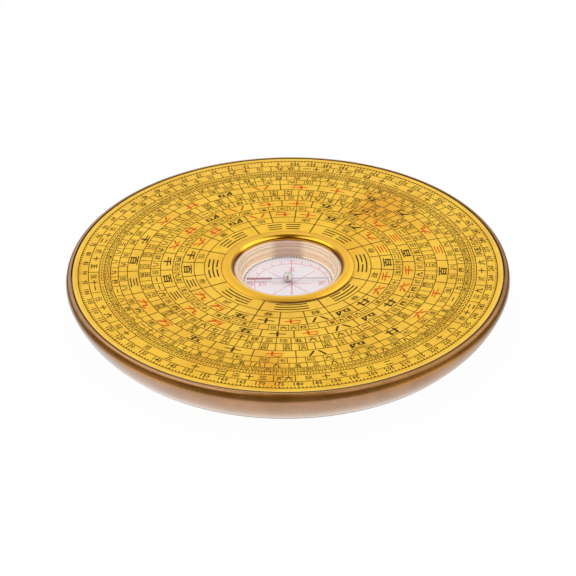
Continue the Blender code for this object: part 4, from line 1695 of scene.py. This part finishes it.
brass = bright_metal("pivot_brass", (0.76, 0.55, 0.24), (0.50, 0.33, 0.13), 0.28)
steel = bright_metal("needle_steel", (0.62, 0.63, 0.61), (0.44, 0.45, 0.44), 0.30)
film = clouded("film_white", 3 * MM, (0.70, 0.70, 0.66), (0.80, 0.80, 0.78), 0.7)
dress_node("pivot_bush", brass)
dress_node("pivot_pin", steel)
dress_node("plate_film", film)

# %% [markdown]
# ## The needle
# The needle is a steel strip, stamped with an eye in its middle. It starts as a flat circle, which is
# inset for the eye. The few edges that face along the strip are extruded into the two arms, and their
# ends are drawn together into points. A Solidify modifier gives the thickness, and a bevel breaks the
# sheared edges.

# %% The needle
strip_low, strip_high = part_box("needle_strip")
EYE_RADIUS = strip_high.y
EYE_HOLE = 0.6 * MM
EYE_STEPS = 48
FACING_SHARE = 0.97
STRIP_HALF_WIDTH = 0.15 * MM
STRIP_POINT = 0.5 * MM
STRIP_POINT_SHARE = 0.08
STRIP_MIDDLE = (strip_low.z + strip_high.z) / 2


def draw_arm(strip, reach):
    """Extrude the edges that face one way into an arm with a point; reach is negative towards -X."""
    side = 1 if reach > 0 else -1
    shoulder = reach - side * STRIP_POINT

    def faces_out(middle):
        return side * middle.x > FACING_SHARE * EYE_RADIUS and abs(middle.y) < STRIP_HALF_WIDTH

    chosen = select_edges(strip.data, faces_out)
    bpy.ops.object.mode_set(mode="EDIT")
    run = shoulder - side * EYE_RADIUS
    bpy.ops.mesh.extrude_region_move(TRANSFORM_OT_translate={"value": (run, 0, 0)})
    bpy.ops.transform.resize(value=(0, 1, 1), center_override=(shoulder, 0, 0))
    bpy.ops.mesh.extrude_region_move(TRANSFORM_OT_translate={"value": (side * STRIP_POINT, 0, 0)})
    bpy.ops.transform.resize(value=(1, STRIP_POINT_SHARE, 1), center_override=(reach, 0, 0))
    bpy.ops.object.mode_set(mode="OBJECT")
    print("arm of", round(abs(reach) / MM, 2), "mm from", chosen, "edges")


deselect()
bpy.ops.mesh.primitive_circle_add(vertices=EYE_STEPS, radius=EYE_RADIUS, fill_type="NGON")
strip = bpy.context.object
edit_all()
bpy.ops.mesh.inset(thickness=EYE_RADIUS - EYE_HOLE)
bpy.ops.mesh.delete(type="FACE")
bpy.ops.object.mode_set(mode="OBJECT")
draw_arm(strip, strip_high.x)
draw_arm(strip, strip_low.x)
solidify = strip.modifiers.new("Sheet", "SOLIDIFY")
solidify.thickness = strip_high.z - strip_low.z
solidify.offset = 0
bpy.ops.object.modifier_apply(modifier=solidify.name)
round_edges(strip, 0.03 * MM)
strip.data.transform(Matrix.Translation((0, 0, STRIP_MIDDLE)))
finish_piece(strip, "needle_strip_steel", "needle", steel, "needle_strip")

# %% [markdown]
# ## The red sleeve
# A red plastic sleeve on one arm marks north. It is a small turned tube with one closed, rounded end,
# so it comes off the same lathe. It is turned upright, and its mesh is then laid along the arm.

# %% The red sleeve
sleeve_low, sleeve_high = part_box("north_sleeve")
SLEEVE_RADIUS = (sleeve_high.z - sleeve_low.z) / 2
SLEEVE_LENGTH = sleeve_high.x - sleeve_low.x
SLEEVE_WALL = 0.09 * MM
SLEEVE_BORE = SLEEVE_RADIUS - SLEEVE_WALL
SLEEVE_END = 0.3 * MM
SLEEVE_ROUNDING = 0.1 * MM
SLEEVE_STEPS = 24
red_plastic = clouded("sleeve_red", 1.2 * MM, (0.36, 0.115, 0.145), (0.50, 0.20, 0.24), 0.35, spread=0.1)
tip_centre = (SLEEVE_RADIUS - SLEEVE_ROUNDING, -SLEEVE_ROUNDING)
sleeve_outline = [(0, 0)] + arc(tip_centre, SLEEVE_ROUNDING, SLEEVE_ROUNDING, 90, 0, 4) + [
    (SLEEVE_RADIUS, -SLEEVE_LENGTH),
    (SLEEVE_BORE, -SLEEVE_LENGTH),
    (SLEEVE_BORE, -SLEEVE_END),
    (0, -SLEEVE_END),
]
sleeve = turn(sleeve_outline, SLEEVE_STEPS)
laid = Matrix.Translation((sleeve_low.x, 0, STRIP_MIDDLE)) @ Matrix.Rotation(-pi / 2, 4, "Y")
sleeve.data.transform(laid)
finish_piece(sleeve, "sleeve_north", "needle", red_plastic, "north_sleeve")

# %% [markdown]
# ## The hub
# Above the eye sits a small domed cap that houses the jewel, and under the eye a collar. Both are
# turned and plated, and upright dull streaks run down their sides, which a noise stretched along Z
# gives. The jewel is hidden in the cap, so its solid stays and only takes a finish.

# %% The hub
cap_low, cap_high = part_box("hub_cap")
collar_low, collar_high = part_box("hub_collar")
HUB_WALL = 0.4 * MM
HUB_BORE = cap_high.x - HUB_WALL
HUB_ROOF = 0.35 * MM
HUB_DOME = 0.3 * MM
HUB_STEPS = 48
COLLAR_BORE = 0.6 * MM


def streaked_metal():
    finish = Finish("hub_metal")
    noise = finish.noise(0.5 * MM, detail=1.0, stretch=(1, 1, 0.12))
    colour = finish.mix(finish.between(noise, 0.42, 0.58), (0.40, 0.36, 0.32), (0.90, 0.86, 0.78))
    return finish.surface(Base_Color=colour, Metallic=0.35, Roughness=0.30 + noise * 0.1)


hub_metal = streaked_metal()
jewel_glass = clouded("jewel_glass", 0.3 * MM, (0.70, 0.74, 0.78), (0.84, 0.87, 0.90), 0.1)
cap_outline = arc((0, cap_high.z - HUB_DOME), cap_high.x, HUB_DOME, 90, 0) + [
    (cap_high.x, cap_low.z),
    (HUB_BORE, cap_low.z),
    (HUB_BORE, cap_high.z - HUB_ROOF),
    (0, cap_high.z - HUB_ROOF),
]
cap = turn(cap_outline, HUB_STEPS)
round_edges(cap, 0.05 * MM)
finish_piece(cap, "hub_cap_metal", "needle", hub_metal, "hub_cap")
collar = turn(ring_section(COLLAR_BORE, collar_high.x, collar_low.z, collar_high.z), HUB_STEPS)
round_edges(collar, 0.06 * MM)
finish_piece(collar, "hub_collar_metal", "needle", hub_metal, "hub_collar")
dress_node("hub_jewel", jewel_glass)

# %% [markdown]
# ## Base pad
# Underneath, a thin rubber disc is let into the body and stands a little proud, so that the compass
# doesn't slide. Its lower edge is rounded, and a fine grain keeps it from looking like a sheet of
# paper when the compass is turned over.

# %% Base pad
PAD_RADIUS = pad_high.x
PAD_ROUNDING = 0.2 * MM
PAD_STEPS = 180
rubber = clouded(
    "pad_rubber", 0.4 * MM, (0.022, 0.021, 0.020), (0.045, 0.043, 0.041), 0.75,
    spread=0.1, relief=0.03 * MM, detail=3.0,
)
rounding_centre = (PAD_RADIUS - PAD_ROUNDING, pad_low.z + PAD_ROUNDING)
pad_edge = arc(rounding_centre, PAD_ROUNDING, PAD_ROUNDING, 0, -90, 5)
pad = turn([(0, pad_high.z), (PAD_RADIUS, pad_high.z)] + pad_edge + [(0, pad_low.z)], PAD_STEPS)
finish_piece(pad, "pad_rubber_disc", "housing", rubber, "base_pad")
